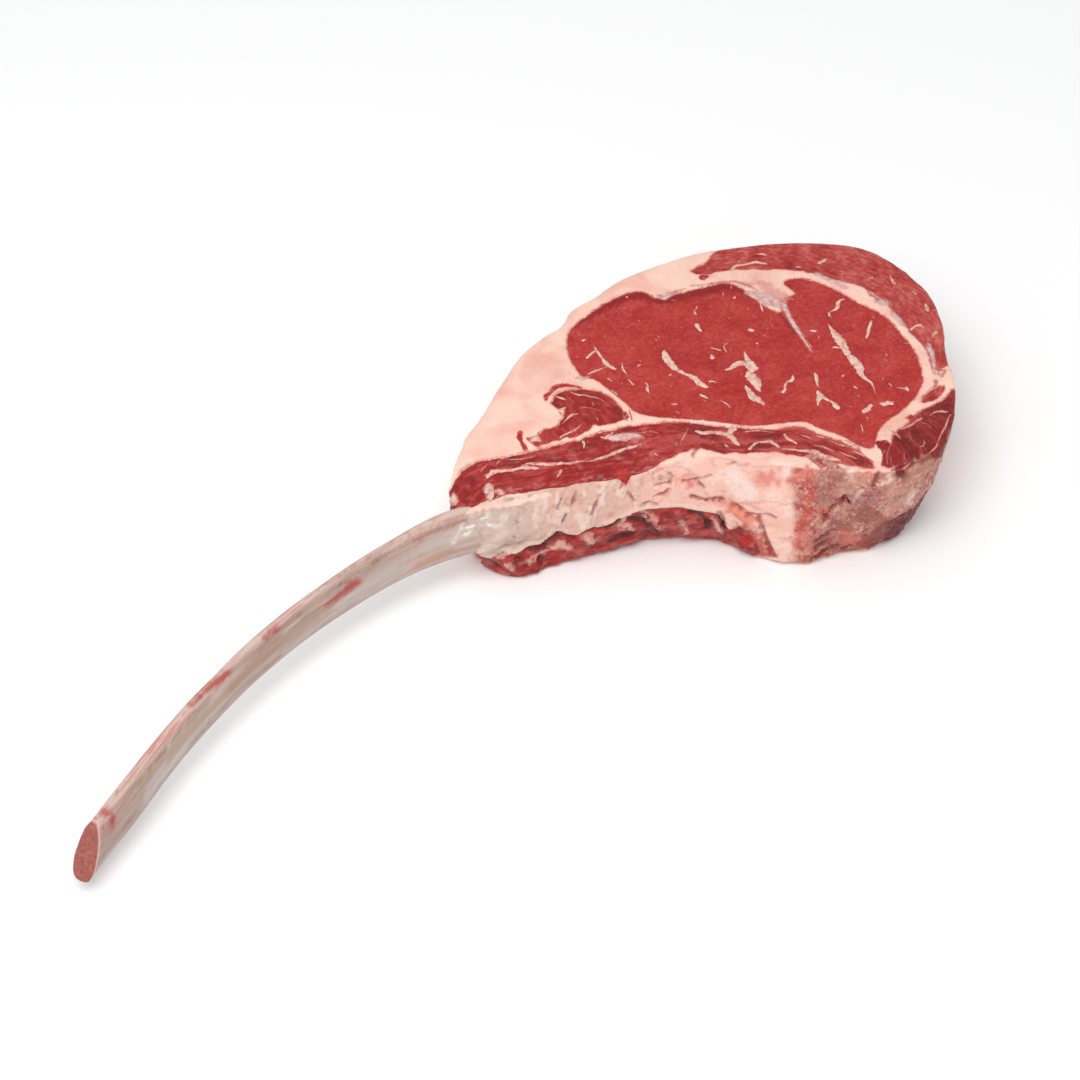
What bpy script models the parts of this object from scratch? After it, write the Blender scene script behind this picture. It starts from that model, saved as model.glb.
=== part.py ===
"""A raw tomahawk steak, lying on its lower cut face: one rib's thickness of ribeye with the whole
long rib bone left on.

The meat is built as one body between its two cut faces, and the muscles are then cut out of that
body with upright cutters, as a knife would follow the seams. What is left over is the fat: the fat
cap, the seams between the muscles and the fat that sheathes the rib. The rib itself is one long
curved bar that runs from its sawn tip, along the front of the meat, to the sawn chine face.

Frame: +Z up, the steak rests on z = 0, +X runs from the tip of the bone to the eye of the steak,
and the origin is the middle of the outline on the resting face. All sizes below are millimetres.
"""

import math
import random

import bmesh
import bpy
from mathutils import Vector
from mathutils.geometry import delaunay_2d_cdt

MM = 0.001

# --- Driving sizes ---------------------------------------------------------------------------
THICKNESS = 55.0  # between the two cut faces
DRAWN_MIDDLE = (3.2, 0.2)  # middle of the whole steak in the numbers below, moved to the origin
SEAM_GAP = 0.3  # clear space between neighbouring pieces
WALL_STEP = 6.0  # spacing of the points round the outline
FACE_STEP = 12.0  # spacing of the points inside the cut faces
FACE_MARGIN = 6.0  # clear space between those points and the outline
SEAM_STEP = 5.0  # spacing of the points round a muscle
TOP_EDGE_RADIUS = 2.0
FOOT_EDGE_RADIUS = 3.5
WALL_LEVELS = (0.0, 1.0, 3.5, 11.0, 19.0, 27.0, 35.0, 43.0, 50.0, 53.4, 55.0)
WALL_RELIEF = 0.9  # height of the lumps on the side of the meat
RELIEF_MARGIN = 8.0  # the lumps fade over this height at the upper and the lower edge
RELIEF_SEED = 7

# The upper edge drops along the front left, where the rib meat is pulled down over the bone.
FRONT_DROP = 8.0
FRONT_DROP_WIDTH = 26.0
FRONT_DROP_FULL_X = 62.0
FRONT_DROP_END_X = 96.0

# --- The outline of the meat -------------------------------------------------------------------
# Each row is a point of the upper edge, x and y, the point of the foot below it, x and y, and how
# far the side stands out between the two at half height. It runs from the thin end at the bone,
# round the back, to the chine corner and along the front.
OUTLINE = (
    (-11, 13, 4, 8, 0),
    (-9, 20, 3, 18, 0),
    (-2, 27, 5, 26, 1),
    (9, 35, 11, 33, 2),
    (23, 44, 24, 41, 2),
    (41, 56, 42, 53, 3),
    (60, 68, 61, 64, 3),
    (76, 73, 77, 69, 3),
    (85, 74, 86, 70, 3),
    (91, 77, 91, 72, 3),
    (97, 81, 96, 76, 3),
    (112, 83, 112, 78, 3),
    (127, 86, 127, 80, 3),
    (146, 85, 145, 79, 3),
    (168, 82, 164, 76, 3),
    (189, 74, 184, 68, 3),
    (212, 62, 206, 56, 3),
    (230, 47, 223, 42, 3),
    (238, 31, 230, 28, 3),
    (240, 13, 231, 11, 3),
    (239, -2, 228, -3, 3),
    (231, -21, 220, -19, 3),
    (219, -39, 207, -34, 3),
    (212, -53, 197, -46, 3),
    (201, -67, 187, -58, 3),
    (189, -78, 178, -67, 3),
    (177, -85, 169, -73, 3),
    (164, -87, 159, -75, 2),
    (152, -84, 149, -74, 2),
    (140, -76, 136, -69, 2),
    (130, -68, 122, -66, 2),
    (119, -57, 113, -59, 3),
    (108, -47, 106, -50, 3),
    (100, -38, 102, -40, 4),
    (92, -30, 95, -30, 5),
    (80, -23, 85, -22, 5),
    (67, -15, 71, -14, 5),
    (49, -8, 57, -11, 5),
    (34, -2, 43, -9, 4),
    (17, 5, 30, -6, 2),
    (7, 9, 20, -5, 1),
    (-3, 11, 11, -2, 0),
)
FRONT_ROWS = 9  # the rows from the first fat lump to the thin end

# --- The muscles, as outlines on the cut face ----------------------------------------------------
EYE = (
    (75, 43), (77.5, 56), (83, 66), (90, 72), (104, 76), (119, 78), (130, 75), (134, 67), (144, 64),
    (155, 61), (167, 57), (171, 46), (171, 36), (175, 27), (181, 33), (189, 34), (189, 43),
    (196, 42), (204, 31), (209, 12), (213, -1), (212, -17), (209, -30), (201, -45), (190, -53),
    (177, -57), (165, -60), (155, -68), (151, -64), (148, -54), (143, -45), (140, -38), (129, -32),
    (119, -27), (106, -14), (91, -2), (82, 8), (81, 17), (80, 28), (78.5, 37),
)
EYE_LOW_SCALE = 0.93  # the eye's size at the foot of its cutter
CAP = (
    (158, 73), (166, 74), (174, 77), (188, 84), (214, 72), (237, 54), (248, 32), (249, 10),
    (246, -8), (238, -24), (226, -44), (215, -43), (209, -44), (212, -36), (215, -26), (216, -14),
    (217, -3), (219, 6), (217, 19), (211, 29), (207, 35), (199, 46), (184, 57), (171, 65),
    (163, 67),
)
CHINE_MUSCLE = (
    (157, -77), (155, -82), (154, -88), (164, -90), (178, -88), (191, -81), (204, -69), (210, -60),
    (207, -57), (201, -60), (194, -60), (186, -61), (175, -64), (166, -67), (161, -71),
)
CHINE_WAIST_LEVELS = (20.0, 25.0, 47.0, 51.0)
CHINE_WAIST = 0.55  # the muscle's size behind the fat on its side, as a share of its full size
CHINE_WAIST_CENTRE = (181.0, -69.0)
SLIVER = ((191, -56), (195, -53), (204, -52), (204, -55), (200, -57), (196, -58))
TAIL = (
    (55.4, 34.7), (59.4, 38.2), (64.1, 37.9), (70, 35), (75, 31), (78, 26), (78.5, 21), (78.4, 16.8),
    (77.6, 12.2), (75.4, 8.7), (70.5, 9.3), (65.8, 11.2), (62.5, 13), (59.5, 12.2), (55.5, 12),
    (50.5, 12.9), (45.5, 14.7), (40, 16.2), (35.9, 17.2), (34.8, 18.6), (38.7, 21.5), (44.2, 21.7),
    (48.6, 21.1), (53.7, 23.5), (57, 27.6), (55.5, 31.2),
)

# --- The rib meat, above and below the bone --------------------------------------------------------
# Both strips lie in front of one seam. Each is cut by a band between that seam and the front.
RIB_SEAM = (
    (-16, 16), (-10, 19), (-4.3, 22), (0.7, 24.1), (6.3, 24.7), (11.8, 23.5), (18, 20.8), (23.2, 19),
    (31.3, 16.2), (38.4, 14.2), (44.7, 12.2), (50.4, 10.4), (57, 8.8), (63.2, 7.8), (67.9, 6.4),
    (74.4, 4.1), (80.7, 0.8), (86.2, -2.2), (92.3, -5.2), (102, -13.5), (113, -24), (123, -32),
    (136, -39), (140, -46), (145, -56), (148, -66), (149, -74),
)
UPPER_FRONT = (
    (-24, 4), (-10, 5), (2, 3), (12, 1), (24, -3), (36, -8), (46, -13), (56, -15), (66, -17),
    (77, -19), (87, -22), (95, -27), (104, -36), (114, -46), (123, -55), (131, -62), (137, -68),
    (143, -74), (147, -78),
)
LOWER_BACK = ((-4, 14), (8, 13), (30, 8), (58, -1), (82, -13), (98, -26), (106, -40))
LOWER_FRONT = ((-16, 4), (4, -12), (26, -18), (54, -22), (80, -34), (96, -48), (108, -66))
UPPER_FLOOR_BACK = 38.0
UPPER_FLOOR_DROP = 1.2  # how far below the upper face the strip's floor meets the front left edge
LOWER_CEILING_BACK = 15.0
LOWER_CEILING_FRONT = (17.0, 19.0, 22.0, 26.0, 29.0, 20.0, 2.0)
SEAM_PIECES, FRONT_PIECES, LOWER_PIECES = 2, 3, 4  # pieces of a line between two of its points

# --- The rib -------------------------------------------------------------------------------------
# Each row is a point of the rib's centre line, x, y and z, then the rib's height and thickness.
RIB = (
    (-228, -50, 20.5, 23.5, 9.5),
    (-206, -39, 22, 23, 9.0),
    (-186, -28.5, 23, 22.5, 8.5),
    (-166, -18.5, 24, 22, 8.0),
    (-147, -10.5, 25, 22, 8.0),
    (-120, -0.5, 26, 22, 8.0),
    (-93, 6.5, 27.5, 22, 8.0),
    (-68, 11, 28.5, 22.5, 8.0),
    (-44, 13, 30, 23.5, 8.5),
    (-22, 12.5, 31.5, 26, 9.5),
    (-3, 9, 32.5, 28, 10.5),
    (14, 4, 33, 28, 10.5),
    (33, 0, 33, 27, 10.5),
    (52, -4, 33, 26, 10.5),
    (72, -10, 33, 25, 10.5),
    (94, -20, 35, 24, 11.0),
    (113, -35, 38, 23, 12.0),
    (125, -50, 42, 23, 13.0),
    (131, -64, 45, 23, 13.0),
    (132, -84, 45, 23, 13.0),
)
RIB_RINGS_PER_ROW = 3
RIB_SIDES = 16
RIB_FLATNESS = 0.65  # 1 is an oval, less has flatter broad faces
RIB_TAPER = 0.3  # how much thinner the upper edge is, and thicker the lower one
RIB_TIP_SLANT = 0.5  # how far the saw cut at the tip leans back, per millimetre of height

# --- The chine face, where the backbone was sawn off ----------------------------------------------------
CHINE_BONE_CENTRE = (146.0, -73.0, 29.0)
CHINE_BONE_SIZE = (17.0, 19.0, 28.0)
CHINE_BONE_POWER = 0.75  # 1 is an egg shape, less is more like a block
CHINE_AIR_LOW = (112.0, -110.0, 15.0)
CHINE_AIR_HIGH = (170.0, -52.0, 75.0)

MEAT_RED = (0.42, 0.045, 0.045, 1.0)
CAP_RED = (0.36, 0.050, 0.050, 1.0)
DARK_RED = (0.28, 0.025, 0.025, 1.0)
FAT_CREAM = (0.83, 0.55, 0.45, 1.0)
BONE_IVORY = (0.62, 0.50, 0.43, 1.0)
CHINE_PINK = (0.46, 0.24, 0.21, 1.0)


# --- Curves and outlines ---------------------------------------------------------------------------
def spline_point(before, start, end, after, t):
    """The point at t, from 0 to 1, on the smooth curve from start to end."""
    return tuple(
        0.5 * (2 * b + (c - a) * t + (2 * a - 5 * b + 4 * c - d) * t * t + (3 * b - a - 3 * c + d) * t**3)
        for a, b, c, d in zip(before, start, end, after)
    )


def closed_curve(rows, step):
    """Points about one step apart on a smooth closed curve through the rows."""
    points = []
    count = len(rows)
    for i, start in enumerate(rows):
        end = rows[(i + 1) % count]
        pieces = max(1, round(math.dist(start[:2], end[:2]) / step))
        for k in range(pieces):
            points.append(
                spline_point(rows[i - 1], start, end, rows[(i + 2) % count], k / pieces)
            )
    return points


def open_curve(rows, pieces):
    """Points on a smooth open curve through the rows, with that many pieces between two rows."""
    last = len(rows) - 1
    points = []
    for i in range(last):
        before, after = rows[max(i - 1, 0)], rows[min(i + 2, last)]
        for k in range(pieces):
            points.append(spline_point(before, rows[i], rows[i + 1], after, k / pieces))
    points.append(tuple(float(value) for value in rows[last]))
    return points


def signed_area(points):
    """Positive for points that run anticlockwise seen from above."""
    return 0.5 * sum(
        a[0] * b[1] - b[0] * a[1] for a, b in zip(points, points[1:] + points[:1])
    )


def outward_normals(points):
    """The outward direction at each point of a closed outline."""
    turn = 1.0 if signed_area(points) > 0 else -1.0
    normals = []
    for i, point in enumerate(points):
        before, after = points[i - 1], points[(i + 1) % len(points)]
        along = Vector((after[0] - before[0], after[1] - before[1])).normalized()
        normals.append(Vector((along.y, -along.x)) * turn)
    return normals


def grown(points, distance):
    """The closed outline moved outwards by a distance, or inwards by a negative one."""
    return [
        (p[0] + n.x * distance, p[1] + n.y * distance, *p[2:])
        for p, n in zip(points, outward_normals(points))
    ]


def inside(x, y, outline):
    """Whether a point lies inside a closed outline."""
    found = False
    for a, b in zip(outline, outline[1:] + outline[:1]):
        if (a[1] > y) != (b[1] > y) and x < a[0] + (y - a[1]) * (b[0] - a[0]) / (b[1] - a[1]):
            found = not found
    return found


def distance_to_line(x, y, line):
    """The distance from a point to an open line of points."""
    point = Vector((x, y))
    best = math.inf
    for a, b in zip(line, line[1:]):
        start, along = Vector(a[:2]), Vector(b[:2]) - Vector(a[:2])
        t = max(0.0, min(1.0, (point - start).dot(along) / along.length_squared))
        best = min(best, (point - start - along * t).length)
    return best


def smooth_step(value):
    """0 below 0, 1 above 1, and a smooth rise between."""
    t = max(0.0, min(1.0, value))
    return t * t * (3 - 2 * t)


# --- The body of the meat -----------------------------------------------------------------------------
FRONT_EDGE = [row[:2] for row in OUTLINE[-FRONT_ROWS:]] + [OUTLINE[0][:2]]


def front_left(x):
    """1 along the front left, where the rib is bare, and 0 further right."""
    return smooth_step((FRONT_DROP_END_X - x) / (FRONT_DROP_END_X - FRONT_DROP_FULL_X))


def top_height(x, y):
    """The height of the upper cut face: flat, but for the drop along the front left."""
    near = 1.0 - smooth_step(distance_to_line(x, y, FRONT_EDGE) / FRONT_DROP_WIDTH)
    return THICKNESS - FRONT_DROP * near * front_left(x)


def rounding(z):
    """How far the side is drawn in near the upper and the lower edge."""
    inset = 0.0
    for depth, radius in ((z, FOOT_EDGE_RADIUS), (THICKNESS - z, TOP_EDGE_RADIUS)):
        if depth < radius:
            inset += radius - math.sqrt(radius**2 - (radius - depth) ** 2)
    return inset


def meat_levels():
    """The rings of points round the meat, one for each level, from the foot to the upper edge."""
    edge = closed_curve(OUTLINE, WALL_STEP)
    lumps = random.Random(RELIEF_SEED)
    rings = []
    for z in WALL_LEVELS:
        up = z / THICKNESS
        line = [
            (x * up + foot_x * (1 - up), y * up + foot_y * (1 - up)) for x, y, foot_x, foot_y, _ in edge
        ]
        middle = smooth_step(z / RELIEF_MARGIN) * smooth_step((THICKNESS - z) / RELIEF_MARGIN)
        ring = []
        for (x, y), normal, row in zip(line, outward_normals(line), edge):
            out = row[4] * 4 * up * (1 - up) - rounding(z)
            out += WALL_RELIEF * middle * lumps.uniform(-1.0, 1.0)
            side_x, side_y = x + normal.x * out, y + normal.y * out
            ring.append((side_x, side_y, up * top_height(side_x, side_y)))
        rings.append(ring)
    return rings


def cap_points(ring, height):
    """The ring with a grid of points inside it, and the triangles that fill it. height gives z."""
    outline = [(p[0], p[1]) for p in ring]
    inner = grown(outline, -FACE_MARGIN)
    xs, ys = [p[0] for p in outline], [p[1] for p in outline]
    spots = []
    row = 0
    y = min(ys)
    while y < max(ys):
        x = min(xs) + (row % 2) * 0.5 * FACE_STEP
        while x < max(xs):
            if inside(x, y, inner) and distance_to_line(x, y, outline + outline[:1]) > FACE_MARGIN:
                spots.append((x, y))
            x += FACE_STEP
        y += FACE_STEP * math.sqrt(3) / 2
        row += 1
    flat = [Vector(p) for p in outline + spots]
    edges = [(i, (i + 1) % len(outline)) for i in range(len(outline))]
    found, _, triangles, *_ = delaunay_2d_cdt(flat, edges, [], 1, 1e-6)
    if len(found) != len(flat):
        raise ValueError("the outline of a cut face crosses itself")
    return [(p[0], p[1], height(p[0], p[1])) for p in spots], triangles


def mesh_object(name, vertices, faces):
    """An object with its mesh, in metres, from drawn vertices in millimetres, faces pointing out."""
    middle = Vector((*DRAWN_MIDDLE, 0))
    mesh = bpy.data.meshes.new(name)
    mesh.from_pydata([(Vector(v) - middle) * MM for v in vertices], [], faces)
    work = bmesh.new()
    work.from_mesh(mesh)
    bmesh.ops.recalc_face_normals(work, faces=work.faces)
    work.to_mesh(mesh)
    work.free()
    made = bpy.data.objects.new(name, mesh)
    bpy.context.scene.collection.objects.link(made)
    return made


def meat_body(name):
    """The whole meat as one closed body, before its muscles are cut apart."""
    rings = meat_levels()
    count = len(rings[0])
    vertices = [point for ring in rings for point in ring]
    faces = []
    for level in range(len(rings) - 1):
        for i in range(count):
            j = (i + 1) % count
            low, high = level * count, (level + 1) * count
            faces.append((low + i, low + j, high + j, high + i))
    for ring, first, height in (
        (rings[0], 0, lambda x, y: 0.0),
        (rings[-1], (len(rings) - 1) * count, top_height),
    ):
        spots, triangles = cap_points(ring, height)
        start = len(vertices)
        vertices += spots
        faces += [
            tuple(first + k if k < count else start + k - count for k in triangle)
            for triangle in triangles
        ]
    return mesh_object(name, vertices, faces)


# --- Cutters ------------------------------------------------------------------------------------------
SLOPE_ROOM = 2.0  # a sloping floor or ceiling needs this much more room in height
CUTTER_LOW = -10.0
CUTTER_HIGH = 75.0


def as_cutter(made):
    """Marks an object as a cutter, which is no part of the steak."""
    made.hide_render = True
    made.display_type = "WIRE"
    return made


def prism(name, rings, plan):
    """A closed upright body through rings with as many points as the plan, from the lowest up. Its
    end faces are split into triangles as the plan is, so that grown copies stay parallel."""
    count = len(plan)
    flat = [Vector(p[:2]) for p in plan]
    edges = [(i, (i + 1) % count) for i in range(count)]
    triangles = delaunay_2d_cdt(flat, edges, [], 1, 1e-6)[2]
    last = (len(rings) - 1) * count
    faces = [tuple(t) for t in triangles]
    faces += [tuple(k + last for k in reversed(t)) for t in triangles]
    for first in range(0, last, count):
        for i in range(count):
            j = (i + 1) % count
            faces.append((first + i, first + j, first + j + count))
            faces.append((first + i, first + j + count, first + i + count))
    return as_cutter(mesh_object(name, [point for ring in rings for point in ring], faces))


def muscle_cutter(name, outline, grow, low_scale=1.0):
    """An upright cutter that follows a muscle's outline right through the steak. A low scale under
    1 narrows the muscle towards the foot."""
    plan = closed_curve(outline, SEAM_STEP)
    ring = grown(plan, grow)
    middle_x = sum(x for x, _ in plan) / len(plan)
    middle_y = sum(y for _, y in plan) / len(plan)
    low = [
        (middle_x + low_scale * (x - middle_x), middle_y + low_scale * (y - middle_y), CUTTER_LOW)
        for x, y in ring
    ]
    high = [(x, y, CUTTER_HIGH) for x, y in ring]
    return prism(name, [low, high], plan)


def chine_muscle_cutter(name, grow):
    """The chine muscle's cutter: full width above and below, drawn in between by a skin of fat."""
    plan = closed_curve(CHINE_MUSCLE, SEAM_STEP)
    full = grown(plan, grow)
    middle_x, middle_y = CHINE_WAIST_CENTRE
    waist = [
        (middle_x + CHINE_WAIST * (x - middle_x), middle_y + CHINE_WAIST * (y - middle_y))
        for x, y in full
    ]
    first, second, third, fourth = CHINE_WAIST_LEVELS
    levels = (
        (full, CUTTER_LOW), (full, first + grow), (waist, second + grow), (waist, third - grow),
        (full, fourth - grow), (full, CUTTER_HIGH),
    )
    return prism(name, [[(x, y, z) for x, y in ring] for ring, z in levels], plan)


def upper_rib_cutter(name, grow):
    """The cutter of the rib meat above the bone. Its floor rises from the seam to the front."""
    lift = SLOPE_ROOM * grow
    seam = [(x, y, UPPER_FLOOR_BACK - lift) for x, y in open_curve(RIB_SEAM, SEAM_PIECES)]
    front = [
        (x, y, top_height(x, y) - UPPER_FLOOR_DROP * front_left(x) - lift)
        for x, y in open_curve(UPPER_FRONT, FRONT_PIECES)
    ]
    plan = seam + front[::-1]
    floor = grown(plan, grow)
    top = [(x, y, CUTTER_HIGH) for x, y, _ in floor]
    return prism(name, [floor, top], plan)


def lower_rib_cutter(name, grow):
    """The cutter of the rib meat below the bone. Its ceiling follows the rib's lower edge."""
    lift = SLOPE_ROOM * grow
    back = [(x, y, LOWER_CEILING_BACK + lift) for x, y in LOWER_BACK]
    front = [(x, y, z + lift) for (x, y), z in zip(LOWER_FRONT, LOWER_CEILING_FRONT)]
    plan = open_curve(back, LOWER_PIECES) + open_curve(front, LOWER_PIECES)[::-1]
    ceiling = grown(plan, grow)
    bottom = [(x, y, CUTTER_LOW) for x, y, _ in ceiling]
    return prism(name, [bottom, ceiling], plan)


def chine_bone_cutter(name, grow):
    """A rounded block round the piece of backbone in the chine face."""
    made = bmesh.new()
    bmesh.ops.create_icosphere(made, subdivisions=3, radius=1.0)
    vertices = [v.co.copy() for v in made.verts]
    faces = [tuple(v.index for v in f.verts) for f in made.faces]
    made.free()
    placed = []
    for point in vertices:
        squared = Vector(math.copysign(abs(c) ** CHINE_BONE_POWER, c) for c in point)
        size = [0.5 * length + grow for length in CHINE_BONE_SIZE]
        placed.append(tuple(c + s * u for c, s, u in zip(CHINE_BONE_CENTRE, size, squared)))
    return as_cutter(mesh_object(name, placed, faces))


# --- The rib ------------------------------------------------------------------------------------------
def rib_section(height, thickness, grow):
    """The rib's section as (across, up) pairs: a flat oval, thin above and thick below."""
    section = []
    for k in range(RIB_SIDES):
        angle = 2 * math.pi * k / RIB_SIDES
        up = math.sin(angle)
        side = math.copysign(abs(math.cos(angle)) ** RIB_FLATNESS, math.cos(angle))
        across = 0.5 * thickness * side * (1 - RIB_TAPER * up)
        section.append(Vector((across, 0.5 * height * up)))
    normals = outward_normals([tuple(p) for p in section])
    return [p + n * grow for p, n in zip(section, normals)]


def rib_body(name, grow):
    """The rib, swept along its centre line, with its ends sawn flat and the tip on a slant."""
    rows = open_curve(RIB, RIB_RINGS_PER_ROW)
    vertices = []
    for i, (x, y, z, height, thickness) in enumerate(rows):
        before, after = rows[max(i - 1, 0)], rows[min(i + 1, len(rows) - 1)]
        along = Vector((after[0] - before[0], after[1] - before[1], 0)).normalized()
        front = Vector((along.y, -along.x, 0))
        end = -grow if i == 0 else 0.0
        # The slant of the sawn tip fades over the first rings, so that they stay in order.
        slant = RIB_TIP_SLANT * max(0.0, 1 - i / RIB_RINGS_PER_ROW)
        for across, up in rib_section(height, thickness, grow):
            spot = Vector((x, y, z + up)) + front * across
            vertices.append(tuple(spot + along * (end + slant * up)))
    faces = []
    for ring in range(len(rows) - 1):
        for k in range(RIB_SIDES):
            a, b = ring * RIB_SIDES + k, ring * RIB_SIDES + (k + 1) % RIB_SIDES
            faces.append((a, b, b + RIB_SIDES, a + RIB_SIDES))
    faces.append(tuple(range(RIB_SIDES)))
    faces.append(tuple(range(len(vertices) - RIB_SIDES, len(vertices))))
    return mesh_object(name, vertices, faces)


def air_at_chine(name):
    """A block of the air outside the sawn chine face, to trim the rib flush with the meat."""
    low, high = CHINE_AIR_LOW, CHINE_AIR_HIGH
    corners = [(x, y, z) for z in (low[2], high[2]) for y in (low[1], high[1]) for x in (low[0], high[0])]
    sides = ((0, 1, 3, 2), (4, 5, 7, 6), (0, 1, 5, 4), (2, 3, 7, 6), (0, 2, 6, 4), (1, 3, 7, 5))
    block = as_cutter(mesh_object(name, corners, sides))
    boolean(block, "DIFFERENCE", as_cutter(meat_body("meat_at_chine")))
    return block


# --- Putting it together --------------------------------------------------------------------------------
def material(name, colour, roughness):
    made = bpy.data.materials.new(name)
    made.use_nodes = True
    shader = made.node_tree.nodes["Principled BSDF"]
    shader.inputs["Base Color"].default_value = colour
    shader.inputs["Roughness"].default_value = roughness
    shader.inputs["Metallic"].default_value = 0.0
    made.diffuse_color = colour
    return made


def finish(made, surface):
    """Gives a piece its material, and shades its round stretches smooth."""
    made.data.materials.append(surface)
    made.data.shade_smooth()
    made.data.set_sharp_from_angle(angle=math.radians(40))
    return made


def boolean(made, operation, cutter, solver="EXACT"):
    cut = made.modifiers.new(f"{operation.lower()} {cutter.name}", "BOOLEAN")
    cut.operation = operation
    cut.object = cutter
    cut.solver = solver


def clear_scene():
    for old in list(bpy.data.objects):
        bpy.data.objects.remove(old, do_unlink=True)


def build():
    clear_scene()
    half = SEAM_GAP / 2
    red = material("muscle", MEAT_RED, 0.45)
    cap_red = material("cap muscle", CAP_RED, 0.5)
    dark_red = material("rib meat", DARK_RED, 0.45)
    cream = material("fat", FAT_CREAM, 0.5)
    ivory = material("bone", BONE_IVORY, 0.55)
    pink = material("sawn bone", CHINE_PINK, 0.6)

    muscles = {
        "eye_muscle": (red, lambda n, g: muscle_cutter(n, EYE, g, EYE_LOW_SCALE)),
        "cap_muscle": (cap_red, lambda n, g: muscle_cutter(n, CAP, g)),
        "chine_muscle": (dark_red, chine_muscle_cutter),
        "seam_sliver": (dark_red, lambda n, g: muscle_cutter(n, SLIVER, g)),
        "tail_muscle": (dark_red, lambda n, g: muscle_cutter(n, TAIL, g)),
        "rib_meat_upper": (dark_red, upper_rib_cutter),
        "rib_meat_lower": (dark_red, lower_rib_cutter),
    }
    rib = finish(rib_body("rib_bone", 0.0), ivory)
    boolean(rib, "DIFFERENCE", air_at_chine("air_at_chine"))
    rib_space = as_cutter(rib_body("rib_space", SEAM_GAP))
    chine_bone = finish(meat_body("chine_bone"), pink)
    boolean(chine_bone, "INTERSECT", chine_bone_cutter("chine_bone_shape", -half))
    boolean(chine_bone, "DIFFERENCE", rib_space)
    bones = (rib_space, chine_bone_cutter("chine_bone_space", half))

    fat = finish(meat_body("fat"), cream)
    for name, (surface, cutter) in muscles.items():
        muscle = finish(meat_body(name), surface)
        boolean(muscle, "INTERSECT", cutter(name + "_shape", -half))
        for space in bones:
            boolean(muscle, "DIFFERENCE", space)
        # Cut this often, the fat comes out with open edges from the exact solver.
        boolean(fat, "DIFFERENCE", cutter(name + "_space", half), "MANIFOLD")
    for space in bones:
        boolean(fat, "DIFFERENCE", space, "MANIFOLD")


build()
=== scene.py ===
import math
from types import SimpleNamespace

import bmesh
import bpy
import numpy as np
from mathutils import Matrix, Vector, noise
from mathutils.bvhtree import BVHTree
from mathutils.geometry import delaunay_2d_cdt


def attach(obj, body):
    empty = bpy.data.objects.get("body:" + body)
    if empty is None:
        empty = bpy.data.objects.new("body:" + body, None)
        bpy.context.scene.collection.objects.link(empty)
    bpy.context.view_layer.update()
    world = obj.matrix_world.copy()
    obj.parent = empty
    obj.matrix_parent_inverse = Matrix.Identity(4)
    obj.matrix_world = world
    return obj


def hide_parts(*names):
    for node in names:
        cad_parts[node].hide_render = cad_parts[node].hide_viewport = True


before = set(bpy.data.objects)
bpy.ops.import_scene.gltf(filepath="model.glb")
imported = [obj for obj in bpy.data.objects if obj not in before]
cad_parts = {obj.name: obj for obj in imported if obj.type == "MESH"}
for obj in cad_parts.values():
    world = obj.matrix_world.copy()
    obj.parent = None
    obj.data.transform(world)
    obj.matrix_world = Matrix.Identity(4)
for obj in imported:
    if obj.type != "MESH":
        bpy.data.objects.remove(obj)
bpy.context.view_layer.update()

# %% [markdown]
# ## The camera, the floor and the light
# The steak is seen from the bone's side, looking down at 45 degrees, through a long lens that keeps
# the far end of the bone from shrinking. The light is a pale room and one large soft lamp, so no
# side of the meat is lost in the dark.
# %% Camera
MM = 0.001
LOOK_AT = Vector((15.3, -10.2, 27.0)) * MM
TURN, TILT, DISTANCE = math.radians(-34), math.radians(45), 1.5
LENS_MM, SENSOR_MM = 115, 36

scene = bpy.context.scene


def put(name, data):
    """A new object in the scene."""
    made = bpy.data.objects.new(name, data)
    scene.collection.objects.link(made)
    return made


back = Vector((math.sin(TURN) * math.cos(TILT), -math.cos(TURN) * math.cos(TILT), math.sin(TILT)))
camera = put("camera", bpy.data.cameras.new("camera"))
camera.data.lens = LENS_MM
camera.data.sensor_width = SENSOR_MM
camera.location = LOOK_AT + back * DISTANCE
camera.rotation_euler = (-back).to_track_quat("-Z", "Y").to_euler()
scene.camera = camera
scene.view_settings.view_transform = "Standard"
print("camera at", tuple(round(c, 3) for c in camera.location))

# %% Room light and lamp
ROOM_TINT, ROOM_STRENGTH = (0.97, 0.985, 1.0, 1), 0.70
LAMP_PLACE, LAMP_SIZE, LAMP_WATTS, LAMP_TINT = (-0.55, -0.50, 1.45), 1.1, 19, (1.0, 0.985, 0.96)

room = bpy.data.worlds.new("pale room")
room.use_nodes = True
sky = room.node_tree.nodes["Background"].inputs
sky["Color"].default_value, sky["Strength"].default_value = ROOM_TINT, ROOM_STRENGTH
scene.world = room

lamp = put("soft lamp", bpy.data.lights.new("soft lamp", "AREA"))
lamp.data.size = LAMP_SIZE
lamp.data.energy = LAMP_WATTS
lamp.data.color = LAMP_TINT
lamp.location = LAMP_PLACE
lamp.rotation_euler = (-lamp.location).to_track_quat("-Z", "Y").to_euler()
print("a room of strength", ROOM_STRENGTH, "and one lamp of", LAMP_WATTS, "W")

# %% The floor, a hair below the meat, so that the two faces never fight
FLOOR_REACH, FLOOR_DROP = 4.0, 0.3
PAPER_TONE, PAPER_ROUGHNESS = (0.9, 0.9, 0.9, 1), 0.9

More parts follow.
